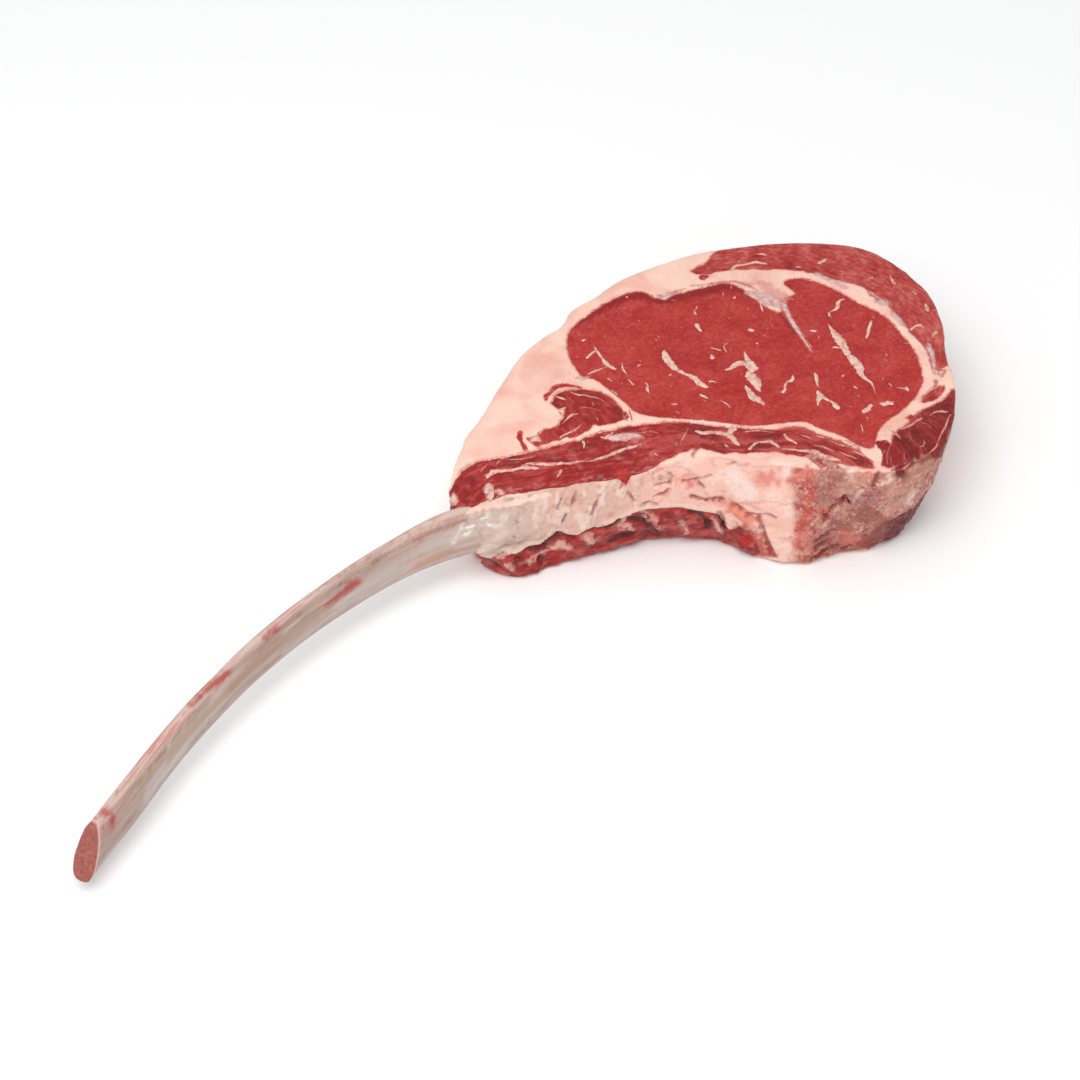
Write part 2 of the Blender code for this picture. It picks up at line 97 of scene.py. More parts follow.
paper = bpy.data.materials.new("pale paper")
paper.use_nodes = True
matt = paper.node_tree.nodes["Principled BSDF"].inputs
matt["Base Color"].default_value, matt["Roughness"].default_value = PAPER_TONE, PAPER_ROUGHNESS
floor_mesh = bpy.data.meshes.new("floor")
corners = ((-1, -1), (1, -1), (1, 1), (-1, 1))
floor_mesh.from_pydata(
    [(x * FLOOR_REACH, y * FLOOR_REACH, -FLOOR_DROP * MM) for x, y in corners], [], [(0, 1, 2, 3)]
)
floor_mesh.materials.append(paper)
floor = put("floor", floor_mesh)
print("a pale floor", 2 * FLOOR_REACH, "m wide")

# %% [markdown]
# ## Curves and distances
# Every seam of a steak is a smooth line with a few turns, so it is drawn by a few points and rounded
# by a spline. numpy works on all points of a mesh at once, which keeps a fine mesh quick.
# %% Smooth curves
def curve(rows, step=1.0, closed=False, flat=2):
    """Points about a step apart on a smooth curve through the rows. Each column is carried along."""
    rows = np.array(rows, float)
    ends = (rows[-1:], rows[:2]) if closed else (rows[:1], rows[-1:])
    padded = np.vstack([ends[0], rows, ends[1]])
    found = []
    for before, start, end, after in zip(padded, padded[1:], padded[2:], padded[3:]):
        pieces = max(1, round(np.linalg.norm((end - start)[:flat]) / step))
        t = np.arange(pieces)[:, None] / pieces
        bend = 2 * before - 5 * start + 4 * end - after
        turn = 3 * start - before - 3 * end + after
        found.append(0.5 * (2 * start + (end - before) * t + bend * t**2 + turn * t**3))
    if not closed:
        found.append(rows[-1:])
    return np.vstack(found)


corner = ((0, 0), (10, 0), (10, 10))
print("a corner of 3 points, rounded by", len(curve(corner)), "points")

# %% Directions and distances
def outward(ring):
    """The outward direction at each point of a closed outline."""
    x, y = ring[:, 0], ring[:, 1]
    turn = np.sign(np.sum(x * np.roll(y, -1) - np.roll(x, -1) * y))
    step = np.roll(ring[:, :2], -1, 0) - np.roll(ring[:, :2], 1, 0)
    step /= np.linalg.norm(step, axis=1, keepdims=True)
    return turn * np.stack([step[:, 1], -step[:, 0]], 1)


def smooth(value, low=0.0, high=1.0):
    """0 below low, 1 above high, and a smooth rise between."""
    t = np.clip((value - low) / (high - low), 0, 1)
    return t * t * (3 - 2 * t)


def fall(value, low=0.0, high=1.0):
    """1 below low, 0 above high, and a smooth fall between."""
    return 1 - smooth(value, low, high)


def away(spots, path, reach=1e9):
    """How far each spot is from a path, in as many dimensions as the path has, up to a reach."""
    path = np.array(path, float)
    size = path.shape[1]
    best = np.full(len(spots), reach**2)
    near = np.all((spots[:, :size] > path.min(0) - reach) & (spots[:, :size] < path.max(0) + reach), 1)
    close = spots[near][:, :size]
    found = best[near]
    for start, end in zip(path[:-1], path[1:]):
        step = end - start
        t = np.clip((close - start) @ step / (step @ step + 1e-12), 0, 1)
        found = np.minimum(found, ((close - start - t[:, None] * step) ** 2).sum(1))
    best[near] = found
    return np.sqrt(best)


def inside(spots, ring):
    """Which spots lie inside a closed outline, seen from above."""
    x, y = spots[:, 0], spots[:, 1]
    found = np.zeros(len(spots), bool)
    for a, b in zip(ring, np.roll(ring, -1, 0)):
        crosses = (a[1] > y) != (b[1] > y)
        found ^= crosses & (x < a[0] + (y - a[1]) * (b[0] - a[0]) / (b[1] - a[1] + 1e-12))
    return found


def along(spots, path):
    """Where each spot lies beside a path seen from above: how far along, and how far to its left."""
    path = np.array(path, float)[:, :2]
    best = np.full(len(spots), 1e9)
    found = np.zeros((len(spots), 2))
    gone = 0.0
    for start, end in zip(path[:-1], path[1:]):
        step = end - start
        length = np.linalg.norm(step)
        step /= length
        off = spots[:, :2] - start
        t = np.clip(off @ step, 0, length)
        far = np.linalg.norm(off - t[:, None] * step, axis=1)
        side = step[0] * off[:, 1] - step[1] * off[:, 0]
        nearer = far < best
        best[nearer] = far[nearer]
        found[nearer] = np.column_stack([gone + t, np.copysign(far, side)])[nearer]
        gone += length
    return found


passes = away(np.array([[5.0, 5.0, 0.0]]), curve(corner))[0]
print("the rounded corner passes", round(passes, 1), "mm from (5, 5)")

# %% Bands and noise
def gap(spots, rows, reach=6.0):
    """How far each spot lies beyond a band's edge. Its rows hold the middle line, then the width."""
    rows = np.array(rows if len(rows) > 1 else (rows[0], rows[0]), float)
    size = rows.shape[1] - 1
    best = np.full(len(spots), reach)
    low, high = rows[:, :size].min(0) - reach, rows[:, :size].max(0) + reach
    near = np.all((spots[:, :size] > low) & (spots[:, :size] < high), 1)
    close, found = spots[near][:, :size], best[near]
    for start, end in zip(rows[:-1], rows[1:]):
        step = end - start
        t = np.clip((close - start[:size]) @ step[:size] / (step[:size] @ step[:size] + 1e-9), 0, 1)
        far = np.linalg.norm(close - start[:size] - t[:, None] * step[:size], axis=1)
        found = np.minimum(found, far - 0.5 * (start[size] + t * step[size]))
    best[near] = found
    return best


def gaps(spots, group, reach=6.0):
    """The gap to the nearest band of a group."""
    return np.min([gap(spots, rows, reach) for rows in group], axis=0)


def rough(spots, size, octaves=3, seed=0.0, stretch=(1, 1, 1)):
    """Cloudy noise from about -1 to 1 at each spot, with lumps of that size in millimetres."""
    scaled = spots[:, :3] * np.array(stretch) / size + seed
    return np.array([noise.fractal(Vector(p), 0.9, 2.1, octaves) for p in scaled])


print("noise at one spot:", rough(np.ones((1, 3)), 5).round(2))

# %% [markdown]
# ## The body of the meat
# A butcher's two parallel cuts make the flat faces. The side between them leans and bulges. A loft
# between the upper outline and the outline of the foot makes that side, and a voxel remesh turns the
# loft into an even skin of small squares, which can be pushed in and out like clay.
# %% The outline: upper x and y, foot x and y, bulge
MIDDLE = np.array((3.2, 0.2, 0.0))
THICKNESS = 55.0
OUTLINE = (
    (-11, 13, 4, 8, 0), (-9, 20, 3, 18, 0), (-2, 27, 5, 26, 1), (9, 35, 11, 33, 2),
    (23, 44, 24, 41, 2), (41, 56, 42, 53, 3), (60, 68, 61, 64, 3), (76, 73, 77, 69, 3),
    (85, 74, 86, 70, 3), (91, 77, 91, 72, 3), (97, 81, 96, 76, 3), (112, 83, 112, 78, 3),
    (127, 86, 127, 80, 3), (146, 85, 145, 79, 3), (168, 82, 164, 76, 3), (189, 74, 184, 68, 3),
    (212, 62, 206, 56, 3), (230, 47, 223, 42, 3), (238, 31, 230, 28, 3), (240, 13, 231, 11, 3),
    (239, -2, 228, -3, 3), (231, -21, 220, -19, 3), (219, -39, 207, -34, 3),
    (212, -53, 197, -46, 3), (201, -67, 187, -58, 3), (189, -78, 178, -67, 3),
    (177, -85, 169, -73, 3), (164, -87, 159, -75, 2), (152, -84, 149, -74, 2),
    (140, -76, 136, -69, 2), (130, -68, 122, -66, 2), (119, -57, 113, -59, 3),
    (108, -47, 106, -50, 3), (100, -38, 102, -40, 4), (92, -30, 95, -30, 5), (80, -23, 85, -22, 5),
    (67, -15, 71, -14, 5), (49, -8, 57, -11, 5), (34, -2, 43, -9, 4), (17, 5, 30, -6, 2),
    (7, 9, 20, -5, 1), (-3, 11, 11, -2, 0),
)
FRONT_POINTS, WALL_POINTS = 9, 17  # the last points of the outline run along the front, to the left
FRONT_EDGE = [row[:2] for row in OUTLINE[-FRONT_POINTS:]] + [OUTLINE[0][:2]]
WALL_LINE = curve([row[:2] for row in OUTLINE[-WALL_POINTS:]] + [OUTLINE[0][:2]], 3.0)
FRONT_DROP, FRONT_DROP_WIDTH, FRONT_DROP_FULL_X, FRONT_DROP_END_X = 8.0, 26.0, 62.0, 96.0
TOP_ROUND, FOOT_ROUND = 2.0, 3.5
BEHIND_WALL = 0.45  # how much a millimetre behind the side counts, where the side is laid out flat


def front_left(x):
    """1 along the front left, where the rib is bare, and 0 further right."""
    return smooth(FRONT_DROP_END_X - x, 0, FRONT_DROP_END_X - FRONT_DROP_FULL_X)


def top_height(spots):
    """The height of the upper cut face: flat, but for the drop along the front left."""
    near = fall(away(spots, FRONT_EDGE, 40), 0, FRONT_DROP_WIDTH)
    return THICKNESS - FRONT_DROP * near * front_left(spots[:, 0])


def unrolled(spots, upper=0.0):
    """The side laid out flat: along the wall, height, and depth behind it, which counts for less."""
    place = along(spots, WALL_LINE)
    behind = place[:, 1] * (BEHIND_WALL + (1 - BEHIND_WALL) * upper)
    return np.column_stack([place[:, 0], spots[:, 2], behind])


def on_wall(group):
    """Paths on the side, laid out flat in the same way."""
    return [np.column_stack([unrolled(np.array(rows)), np.array(rows)[:, 3]]) for rows in group]


wall_length = along(WALL_LINE[-1:], WALL_LINE)[0, 0]
print("the side is", round(wall_length), "mm long from the chine muscle to the rib's exit")

# %% Make, settle and read a mesh
def new_piece(name, vertices, faces, surface=None):
    """An object with its mesh, from vertices drawn in millimetres, its faces turned outwards."""
    mesh = bpy.data.meshes.new(name)
    mesh.from_pydata(((np.array(vertices) - MIDDLE) * MM).tolist(), [], faces)
    turned = bmesh.new()
    turned.from_mesh(mesh)
    bmesh.ops.recalc_face_normals(turned, faces=turned.faces)
    turned.to_mesh(mesh)
    turned.free()
    if surface:
        mesh.materials.append(surface)
    return put(name, mesh)


def settle(made):
    """Turns an object and its modifiers into one plain mesh."""
    bpy.context.view_layer.update()
    shaped = bpy.data.meshes.new_from_object(made.evaluated_get(bpy.context.evaluated_depsgraph_get()))
    made.modifiers.clear()
    worn, made.data = made.data, shaped
    bpy.data.meshes.remove(worn)
    return made


def read(made, what):
    """Three numbers for each vertex of a piece, one row each."""
    flat = np.empty(len(made.data.vertices) * 3)
    made.data.vertices.foreach_get(what, flat)
    return flat.reshape(-1, 3)


def drawn(made):
    """The vertices of a piece in drawn millimetres."""
    return read(made, "co") / MM + MIDDLE


def redraw(made, spots):
    """Moves the vertices of a piece to new spots, in drawn millimetres."""
    made.data.vertices.foreach_set("co", ((spots - MIDDLE) * MM).ravel())
    made.data.update()


def normals(made):
    """The direction in which the skin faces at each vertex."""
    return read(made, "normal")


def between(rings, around, start=0):
    """The faces between rings of as many points each, numbered from start."""
    return [
        (a + i, a + (i + 1) % around, a + around + (i + 1) % around, a + around + i)
        for a in range(start, start + (rings - 1) * around, around)
        for i in range(around)
    ]


print("two rings of 3 points have", len(between(2, 3)), "faces between them")

# %% Loft the side and remesh it
SKIN = 0.8  # size of the squares of the skin
levels = np.array([0, 0.4, 1.2, 2.2, 3.5, *np.arange(6, 50, 3.5), 51.5, 53, 53.6, 54.4, 54.85, 55])
edge = curve(OUTLINE, 2.0, closed=True)
rings = []
for z in levels:
    up = z / THICKNESS
    line = edge[:, :2] * up + edge[:, 2:4] * (1 - up)
    out = edge[:, 4] * 4 * up * (1 - up)
    for depth, radius in ((z, FOOT_ROUND), (THICKNESS - z, TOP_ROUND)):
        if depth < radius:
            out = out - radius + math.sqrt(radius**2 - (radius - depth) ** 2)
    ring = line + outward(line) * out[:, None]
    rings.append(np.column_stack([ring, np.full(len(ring), z)]))
around = len(edge)
faces = between(len(levels), around)
faces += [tuple(range(around))[::-1], tuple(range((len(levels) - 1) * around, len(levels) * around))]
meat = new_piece("whole meat", np.vstack(rings), faces)
evened = meat.modifiers.new("even skin", "REMESH")
evened.mode = "VOXEL"
evened.voxel_size = SKIN * MM
settle(meat)
print("the skin has", len(meat.data.vertices), "points")

# %% [markdown]
# ## The seams between the muscles
# Each muscle is a column that runs right through the steak, so one outline per muscle is enough. The
# large eye narrows a little towards the foot. The two strips of rib meat lie above and below the
# bone, and only reach part of the way down or up.
# %% The muscles' outlines on the cut face
EYE = (
    (75, 43), (77.5, 56), (83, 66), (90, 72), (104, 76), (119, 78), (130, 75), (134, 67), (144, 64),
    (155, 61), (167, 57), (171, 46), (171, 36), (175, 27), (181, 33), (189, 34), (189, 43),
    (196, 42), (204, 31), (209, 12), (213, -1), (212, -17), (209, -30), (201, -45), (190, -53),
    (177, -57), (165, -60), (155, -68), (151, -64), (148, -54), (143, -45), (140, -38), (129, -32),
    (119, -27), (106, -14), (91, -2), (82, 8), (81, 17), (80, 28), (78.5, 37),
)
CAP = (
    (158, 73), (166, 74), (174, 77), (188, 84), (214, 72), (237, 54), (248, 32), (249, 10),
    (246, -8), (238, -24), (226, -44), (215, -43), (209, -44), (212, -36), (215, -26), (216, -14),
    (217, -3), (219, 6), (217, 19), (211, 29), (207, 35), (199, 46), (184, 57), (171, 65),
    (163, 67),
)
CHINE_MUSCLE = (
    (157, -77), (155, -82), (154, -88), (164, -90), (178, -88), (191, -81), (204, -69), (210, -60),
    (207, -57), (201, -60), (194, -60), (186, -61), (175, -64), (166, -67), (161, -71),
)
SLIVER = ((191, -56), (195, -53), (204, -52), (204, -55), (200, -57), (196, -58))
TAIL = (
    (55.4, 34.7), (59.4, 38.2), (64.1, 37.9), (70, 35), (75, 31), (78, 26), (78.5, 21),
    (78.4, 16.8), (77.5, 12), (75.5, 8.5), (70.5, 9.2), (65.8, 11), (62.5, 13), (59.5, 12),
    (55.5, 11.8), (50.5, 12.9), (45.5, 14.7), (40, 16.2), (35.9, 17.2), (34.8, 18.6), (38.7, 21.5),
    (44.2, 21.7), (48.6, 21.1), (53.7, 23.5), (57, 27.6), (55.5, 31.2),
)
RIB_SEAM = (
    (-16, 16), (-10, 19), (-4.3, 22), (0.7, 24.1), (6.3, 24.7), (11.8, 23.5), (18, 20.8),
    (23.2, 19), (31.3, 16.2), (38.4, 14.2), (44.7, 12.2), (50.4, 10.4), (57, 8.8), (63.2, 7.8),
    (67.9, 6.4), (74.4, 4.1), (80.7, 0.8), (86.2, -2.2), (92.3, -5.2), (102, -13.5), (113, -24),
    (123, -32), (136, -39), (140, -46), (145, -56), (148, -66), (149, -74),
)
UPPER_FRONT = (
    (-24, 4), (-10, 5), (2, 3), (12, 1), (24, -3), (36, -8), (46, -13), (56, -15), (66, -17),
    (77, -19), (87, -22), (92, -25), (98, -32), (104, -36.5), (109.6, -39.8), (114.2, -43),
    (118.4, -45.2), (121.3, -49), (126.3, -54.4), (130.7, -57.6), (133.6, -62.6), (138, -68.5),
    (143.5, -74.5), (147, -78),
)
LOWER_BACK = ((-4, 14), (8, 13), (30, 8), (58, -1), (82, -13), (98, -26), (106, -40))
LOWER_FRONT = ((-16, 4), (4, -12), (26, -18), (54, -22), (80, -34), (96, -48), (108, -66))
LOWER_EDGE = (
    (-11, 13, 0), (-4, 11, 7), (0.5, 8.8, 12.2), (4.9, 5.2, 15.8), (8, 1.8, 16.9), (12, -0.1, 14.3),
    (18.7, -1.8, 17), (25.9, -3, 17), (28, -6, 23.2), (33.3, -6.1, 21.5), (37.8, -8.9, 16.5),
    (42, -10.5, 21.1), (49, -11.9, 20.8), (56, -15.5, 23.6), (65.6, -18.7, 26.5), (81, -27.4, 27),
    (88.5, -32.1, 24.5), (94.5, -37.1, 24.4), (96.4, -39, 18), (98, -41, 14), (100.7, -45.5, 17.9),
    (104.1, -49.9, 15.3), (107.4, -53.3, 10), (110.8, -56.7, 3.5), (114, -60, -6),
)  # where the upper rim of the lower strip shows on the side
EYE_LOW_SCALE, UPPER_FLOOR_BACK, UPPER_FLOOR_DROP = 0.93, 38.0, 0.2
DRIP_X, DRIP_DEPTH, DRIP_WIDTH = 60.5, 4.5, 1.8
CUT_LOW, CUT_HIGH = -10.0, 75.0
print(len(EYE), "points round the eye,", len(CAP), "round the cap")

# %% Rough seams
def ragged(line, amount, seed):
    """A seam as a knife shows it: each point strays a little from the smooth line."""
    flat = np.column_stack([line[:, :2], np.zeros(len(line))])
    stray = np.column_stack([rough(flat, 4.5, 3, seed), rough(flat, 4.5, 3, seed + 50)])
    return line[:, :2] + amount * stray


seam_line = ragged(curve(RIB_SEAM, 1.2), 0.8, 1)
front_line = ragged(curve(UPPER_FRONT, 1.5), 1.1, 8)
plans = {
    "eye": ragged(curve(EYE, 1.0, closed=True), 0.5, 2),
    "cap": ragged(curve(CAP, 1.0, closed=True), 0.9, 3),
    "chine": ragged(curve(CHINE_MUSCLE, 1.0, closed=True), 0.8, 4),
    "sliver": ragged(curve(SLIVER, 1.0, closed=True), 0.6, 5),
    "tail": ragged(curve(TAIL, 1.0, closed=True), 0.9, 6),
    "upper": np.vstack([seam_line, front_line[::-1]]),
    "lower": np.vstack([curve(LOWER_BACK, 1.2), curve(LOWER_FRONT, 1.2)[::-1]]),
}
eye_middle = curve(EYE, 5.0, closed=True).mean(0)


def eye_size(z):
    """The eye's size at a height, as a share of its drawn outline."""
    return EYE_LOW_SCALE + (1 - EYE_LOW_SCALE) * (z - CUT_LOW) / (CUT_HIGH - CUT_LOW)


print("drawn seams:", ", ".join(plans))

# %% Where each point of the skin lies
SEAM_REACH = 14.0


def seams_at(spots):
    """For spots on a cut face: which muscle holds each, and how far its nearest seam is."""
    holder = np.full(len(spots), "", dtype="<U8")
    seam = np.full(len(spots), SEAM_REACH)
    for name, plan in plans.items():
        if name == "lower":  # it lies below the rib, and never shows on the upper cut
            continue
        flat = spots[:, :2]
        if name == "eye":
            flat = eye_middle + (flat - eye_middle) / eye_size(spots[:, 2:3])
        holder[inside(flat, plan)] = name
        seam = np.minimum(seam, away(flat, np.vstack([plan, plan[:1]]), SEAM_REACH))
    return holder, seam


middle = np.array([[*eye_middle, THICKNESS]])
print("the middle of the eye is held by", *seams_at(middle)[0])

# %% [markdown]
# ## The line of the rib
# The rib runs in one long bow from its sawn tip to the chine face, and gets higher and thicker on the
# way. Each row holds a point of its middle line, then the height and the thickness there. Both the
# relief of the sheath and the paint ask where a spot lies along the rib, so its line comes first.
# %% The line of the rib: x, y, height of its middle, its height and its thickness
RIB = (
    (-228, -50, 20.5, 23.5, 9.5), (-206, -39, 22, 23, 9.0), (-186, -28.5, 23, 22.5, 8.5),
    (-166, -18.5, 24, 22, 8.0), (-147, -10.5, 25, 22, 8.0), (-120, -0.5, 26, 22, 8.0),
    (-93, 6.5, 27.5, 22, 8.0), (-68, 11, 28.5, 22.5, 8.0), (-44, 13, 30, 23.5, 8.5),
    (-22, 12.5, 31.5, 26, 9.5), (-3, 9, 32.0, 26.4, 10.5), (14, 4, 31.6, 24.8, 10.5),
    (33, 0, 31.6, 23.8, 10.5), (52, -4, 31.9, 24, 10.5), (72, -10, 33, 25, 10.5),
    (94, -20, 35, 24, 11.0), (113, -35, 38, 23, 12.0), (125, -50, 42, 23, 13.0),
    (131, -64, 45, 23, 13.0), (132, -84, 45, 23, 13.0),
)
RIB_TAPER, BLUNTNESS = 0.3, 0.65  # a thinner upper edge, and a section fuller than an ellipse
rows = curve(RIB, 1.3)
centre = rows[:, :3]
travel = np.concatenate([[0], np.cumsum(np.linalg.norm(np.diff(centre[:, :2], axis=0), axis=1))])


def rib_rows(far):
    """The rows of the rib's line that hold at distances along it."""
    return rows[np.clip(np.searchsorted(travel, far), 0, len(rows) - 1)]


def rib_place(spots):
    """On the rib: how far along it, how far to its front as a share, and how high as a share."""
    place = along(spots, centre)
    row = rib_rows(place[:, 0])
    front = -place[:, 1] / (0.5 * row[:, 4])
    return np.column_stack([place[:, 0], front, (spots[:, 2] - row[:, 2]) / (0.5 * row[:, 3])])


def rib_front(high):
    """How far the rib's front stands out at a height, as a share of half its thickness."""
    return np.sqrt(np.maximum(1 - high**2, 0)) ** BLUNTNESS * (1 - RIB_TAPER * high)


print("the rib is", round(travel[-1]), "mm long along its curve")

# %% [markdown]
# ## Slits, folds and crevices
# Where the knife has slit the sheath, or the saw has torn the tissue, the skin is pressed in, and a
# flap of membrane or fat stands out. They could be sculpted by hand, but a path with a width at each
# of its points can be measured, moved and counted, and the same path later gets its colour. On the
# side a point has x, y and height. On the upper cut x and y are enough, as it lands from above.
# All are in millimetres. Each point was picked by eye in the picture, and a small script of its own
# followed the camera's ray through it to the skin and worked out these places and widths.
# %% The sheath over the rib: slits, the fold and what stands out
SLITS = (
    ((40.2, -6.6, 42.1, 0.6), (39, -6.8, 40, 1.1), (37.8, -7.1, 37.8, 1), (36.5, -7.8, 34.8, 0.5)),
    ((48.8, -11.8, 38.6, 0.6), (47.3, -11.7, 36.3, 1), (45.8, -11.7, 32.9, 1.5),
     (44.8, -11.7, 29.2, 0.6)), ((34.1, -7.1, 31.9, 0.7), (32.8, -6.8, 28.7, 1.4)),
    ((61, -15.7, 37.6, 0.5), (62.2, -16.4, 34.4, 1), (63.7, -17.3, 31.3, 0.8)),
    ((33.3, -4.5, 40, 0.6), (31, -4.8, 36, 0.8)),
    ((13.9, -0.5, 39.4, 0.6), (12.6, -0.9, 34.5, 0.9)),
    ((10.4, -1, 27.8, 0.7), (11.3, -1.2, 25.6, 0.7)),
    ((57.8, -14.1, 39.9, 0.6), (60.4, -14.1, 42.7, 0.7)),
    ((71.1, -21.3, 32.9, 0.7), (74, -23.1, 35.2, 1.2), (76.6, -24.6, 37.5, 0.8)),
    ((71.9, -20.6, 39.3, 0.7), (74.7, -22.7, 40, 1), (77.1, -23.8, 40.8, 1.2),
     (78.6, -24.5, 43.6, 1), (77.4, -23.1, 46.1, 0.6)),
    ((82, -27.4, 41.6, 1), (85, -29.1, 42, 1.1), (88.8, -31.3, 43, 0.9), (92.4, -33.7, 44.8, 0.7)),
    ((88, -31, 41.4, 0.6), (89.4, -33, 38.5, 1)),
    ((98.2, -37.9, 51, 0.6), (100.5, -39.7, 52.4, 0.8)),
    ((117.4, -61.9, 36.3, 0.6), (119.2, -64, 35.2, 0.8)),
    ((106.4, -52.5, 27.9, 0.5), (109, -54.8, 29, 0.7), (111.4, -56.8, 28.1, 0.5)),
    ((20.9, 30.3, 55.1, 0.4), (20.9, 27.1, 54.7, 0.5), (21, 24.1, 53.9, 0.6),
     (22, 22.4, 53.5, 0.4)),
    ((52.9, 30.8, 54.9, 0.4), (50.1, 25.8, 55.4, 0.5), (48.9, 22.6, 54.8, 0.4)),
    ((65.9, -18.1, 28.9, 0.7), (68.9, -19.9, 30, 0.9), (72.3, -21.9, 29.1, 0.7)),
)
FOLD = (
    ((85.4, -29.8, 33.3, 0.9), (87.5, -31.4, 32.2, 1.7), (90.3, -33.6, 31.1, 1.3),
     (93.8, -36.9, 32.6, 1.8), (97.1, -40.6, 32, 1.4), (99.9, -44.3, 29.7, 1.5),
     (102.4, -47.7, 27.4, 1.5), (104.1, -49.8, 27, 1.5)),
    ((103.9, -49.4, 27.4, 1.2), (105.6, -51.6, 27, 1.7), (106.5, -52.9, 22, 1.6),
     (107.6, -54.1, 16.2, 2.1), (109, -55.6, 10.4, 2.8), (110.8, -57.9, 5.7, 2.8)),
)
ORANGE = (
    ((97.6, -42.3, 28.7, 4.1), (100.4, -45.3, 26.6, 5.7), (102.8, -48.3, 22.8, 4.7)),
    ((74.8, -23.5, 35.8, 2.6),),
    ((-35.7, 8.6, 24.8, 3.5), (-29.2, 8.3, 25.1, 3.5), (-22, 7.5, 24.7, 3.4)),
)
SHARDS = (
    ((-15.2, 6.7, 31.4, 1.6), (-13.1, 6.6, 33.4, 1.9), (-11.5, 6.6, 36.7, 1.5),
     (-10.8, 6.8, 38.7, 0.7)),
    ((-11.4, 6.1, 33.4, 2.2), (-8.7, 5.4, 33.2, 2), (-5.9, 4.9, 35, 1.1)),
    ((-9.8, 6.1, 36.2, 1.7), (-7.1, 5.4, 36.5, 1.7), (-4.4, 4.8, 37.3, 1.1)),
    ((-3.7, 5, 39.2, 1.1), (-1.1, 4.3, 39.5, 1.3), (1.6, 3.5, 39.9, 0.8)),
    ((-1.3, 3.9, 36.9, 1.5), (3.1, 2.1, 34.2, 2.1), (7.4, 0.6, 34.2, 1.6)),
)  # membrane that stands up where the rib leaves the meat
MEMBRANE = (
    *SHARDS,
    ((-0.8, 3.5, 21, 6.2), (0.3, 2.7, 22.3, 6.2)),
    ((3, 1.3, 27.5, 2.4), (4.8, 0.8, 29.4, 3), (7, 0.1, 30.6, 1.8)),
    ((15, -1.2, 36.4, 2.3), (15.1, -1.9, 33.2, 1.8)),
    ((20.6, -3.1, 33.6, 1.6), (22.8, -3.6, 33.4, 1.6)),
    ((41.6, -11, 24.2, 1.7), (39.7, -10.7, 21.3, 1.7), (39.5, -10.3, 17.4, 0.9)),
    ((9.9, 0.7, 17.4, 1.5), (8.9, 0.8, 15.4, 1)),
    ((72.8, -20, 44.4, 3.9), (74.9, -21.4, 45.6, 4.4), (76.6, -22.9, 44, 2.6)),
    ((70.2, -19.3, 40.3, 1.5), (72.2, -21.1, 37.7, 1.6)), ((87.3, -31.3, 27.3, 1.2),),
    ((6.1, 12.7, 47.6, 2.5), (5.7, 10.4, 47.2, 3.6), (5.6, 8.8, 45.5, 2.6), (2.7, 6, 46.4, 0.9)),
    ((8.3, 8.1, 45.9, 1.5), (10.2, 4.7, 47, 1.8), (13.5, 2, 46.1, 1.1), (17.1, 0.3, 44.4, 0.6)),
    ((-8.1, 19.4, 48.1, 2), (-9, 17.3, 47.2, 3), (-9.6, 14.8, 46.6, 2)),
)
print(len(SLITS), "slits in the sheath over the rib")

# %% The chine face and the lower strip: holes, cracks and wet membranes
HOLE = (((135.3, -73.8, 41, 1.4), (135.3, -73.9, 39.3, 3.1), (136.7, -74.5, 37.2, 2)),)
DARK = (
    ((134.2, -73.5, 37.7, 1.8), (131.8, -72.4, 35.7, 1.5), (129.5, -71.4, 33.1, 1.4),
     (128.2, -70.6, 30.1, 1), (127.2, -70, 27.1, 0.6)),
    ((147.2, -80.2, 54.8, 1.7), (146, -80, 51.1, 1.4), (145.2, -80, 48.5, 0.8)),
    ((166.8, -84, 55.1, 2.1), (170.8, -83.8, 54.6, 1.8), (174.9, -84.2, 54.5, 1.4)),
    ((125.3, -68.6, 15.2, 1.4), (128.5, -69.9, 17.6, 1.6), (131.4, -71.6, 20.5, 1.1)),
    ((125.5, -68.1, 10.4, 1.4), (129.8, -70, 13.9, 1.8)),
    ((125.7, -67.6, 4.1, 2.3), (130, -69, 7.3, 2.3), (135.4, -70.5, 8.6, 2.3)),
    ((139.4, -70.8, 4.2, 1.5), (141.5, -72.8, 7.1, 1.2)),
    ((94.8, -38.2, 25.1, 1.1), (96.1, -39, 20.1, 1.7), (96.8, -39.1, 15.5, 1.7)),
)
STRONG_RED = (
    ((117.2, -58.4, 47.5, 2.2),), ((124.1, -64.4, 46.2, 1.7), (123.5, -66.3, 41.3, 1.7)),
    ((120.6, -64.9, 36.3, 2.2), (121.3, -65.9, 30, 2.6), (119.7, -64.4, 23.5, 3)),
    ((61.6, -9.2, 47.2, 2.7), (61, -12.4, 45.9, 2.7), (59.5, -13.9, 43, 1.8)),
    ((125.3, -69.1, 32.9, 2.7), (128, -70.6, 32.6, 3.7)),
)
LOOSE_SHREDS = (
    ((81.8, -26.6, 17.8, 0.7), (84.1, -26.6, 12.9, 1.1), (86.5, -26.6, 8.3, 1)),
    ((92.6, -35.4, 22.2, 0.7), (94.2, -36.6, 16.7, 1.3), (96.3, -37, 11.5, 1.3)),
)
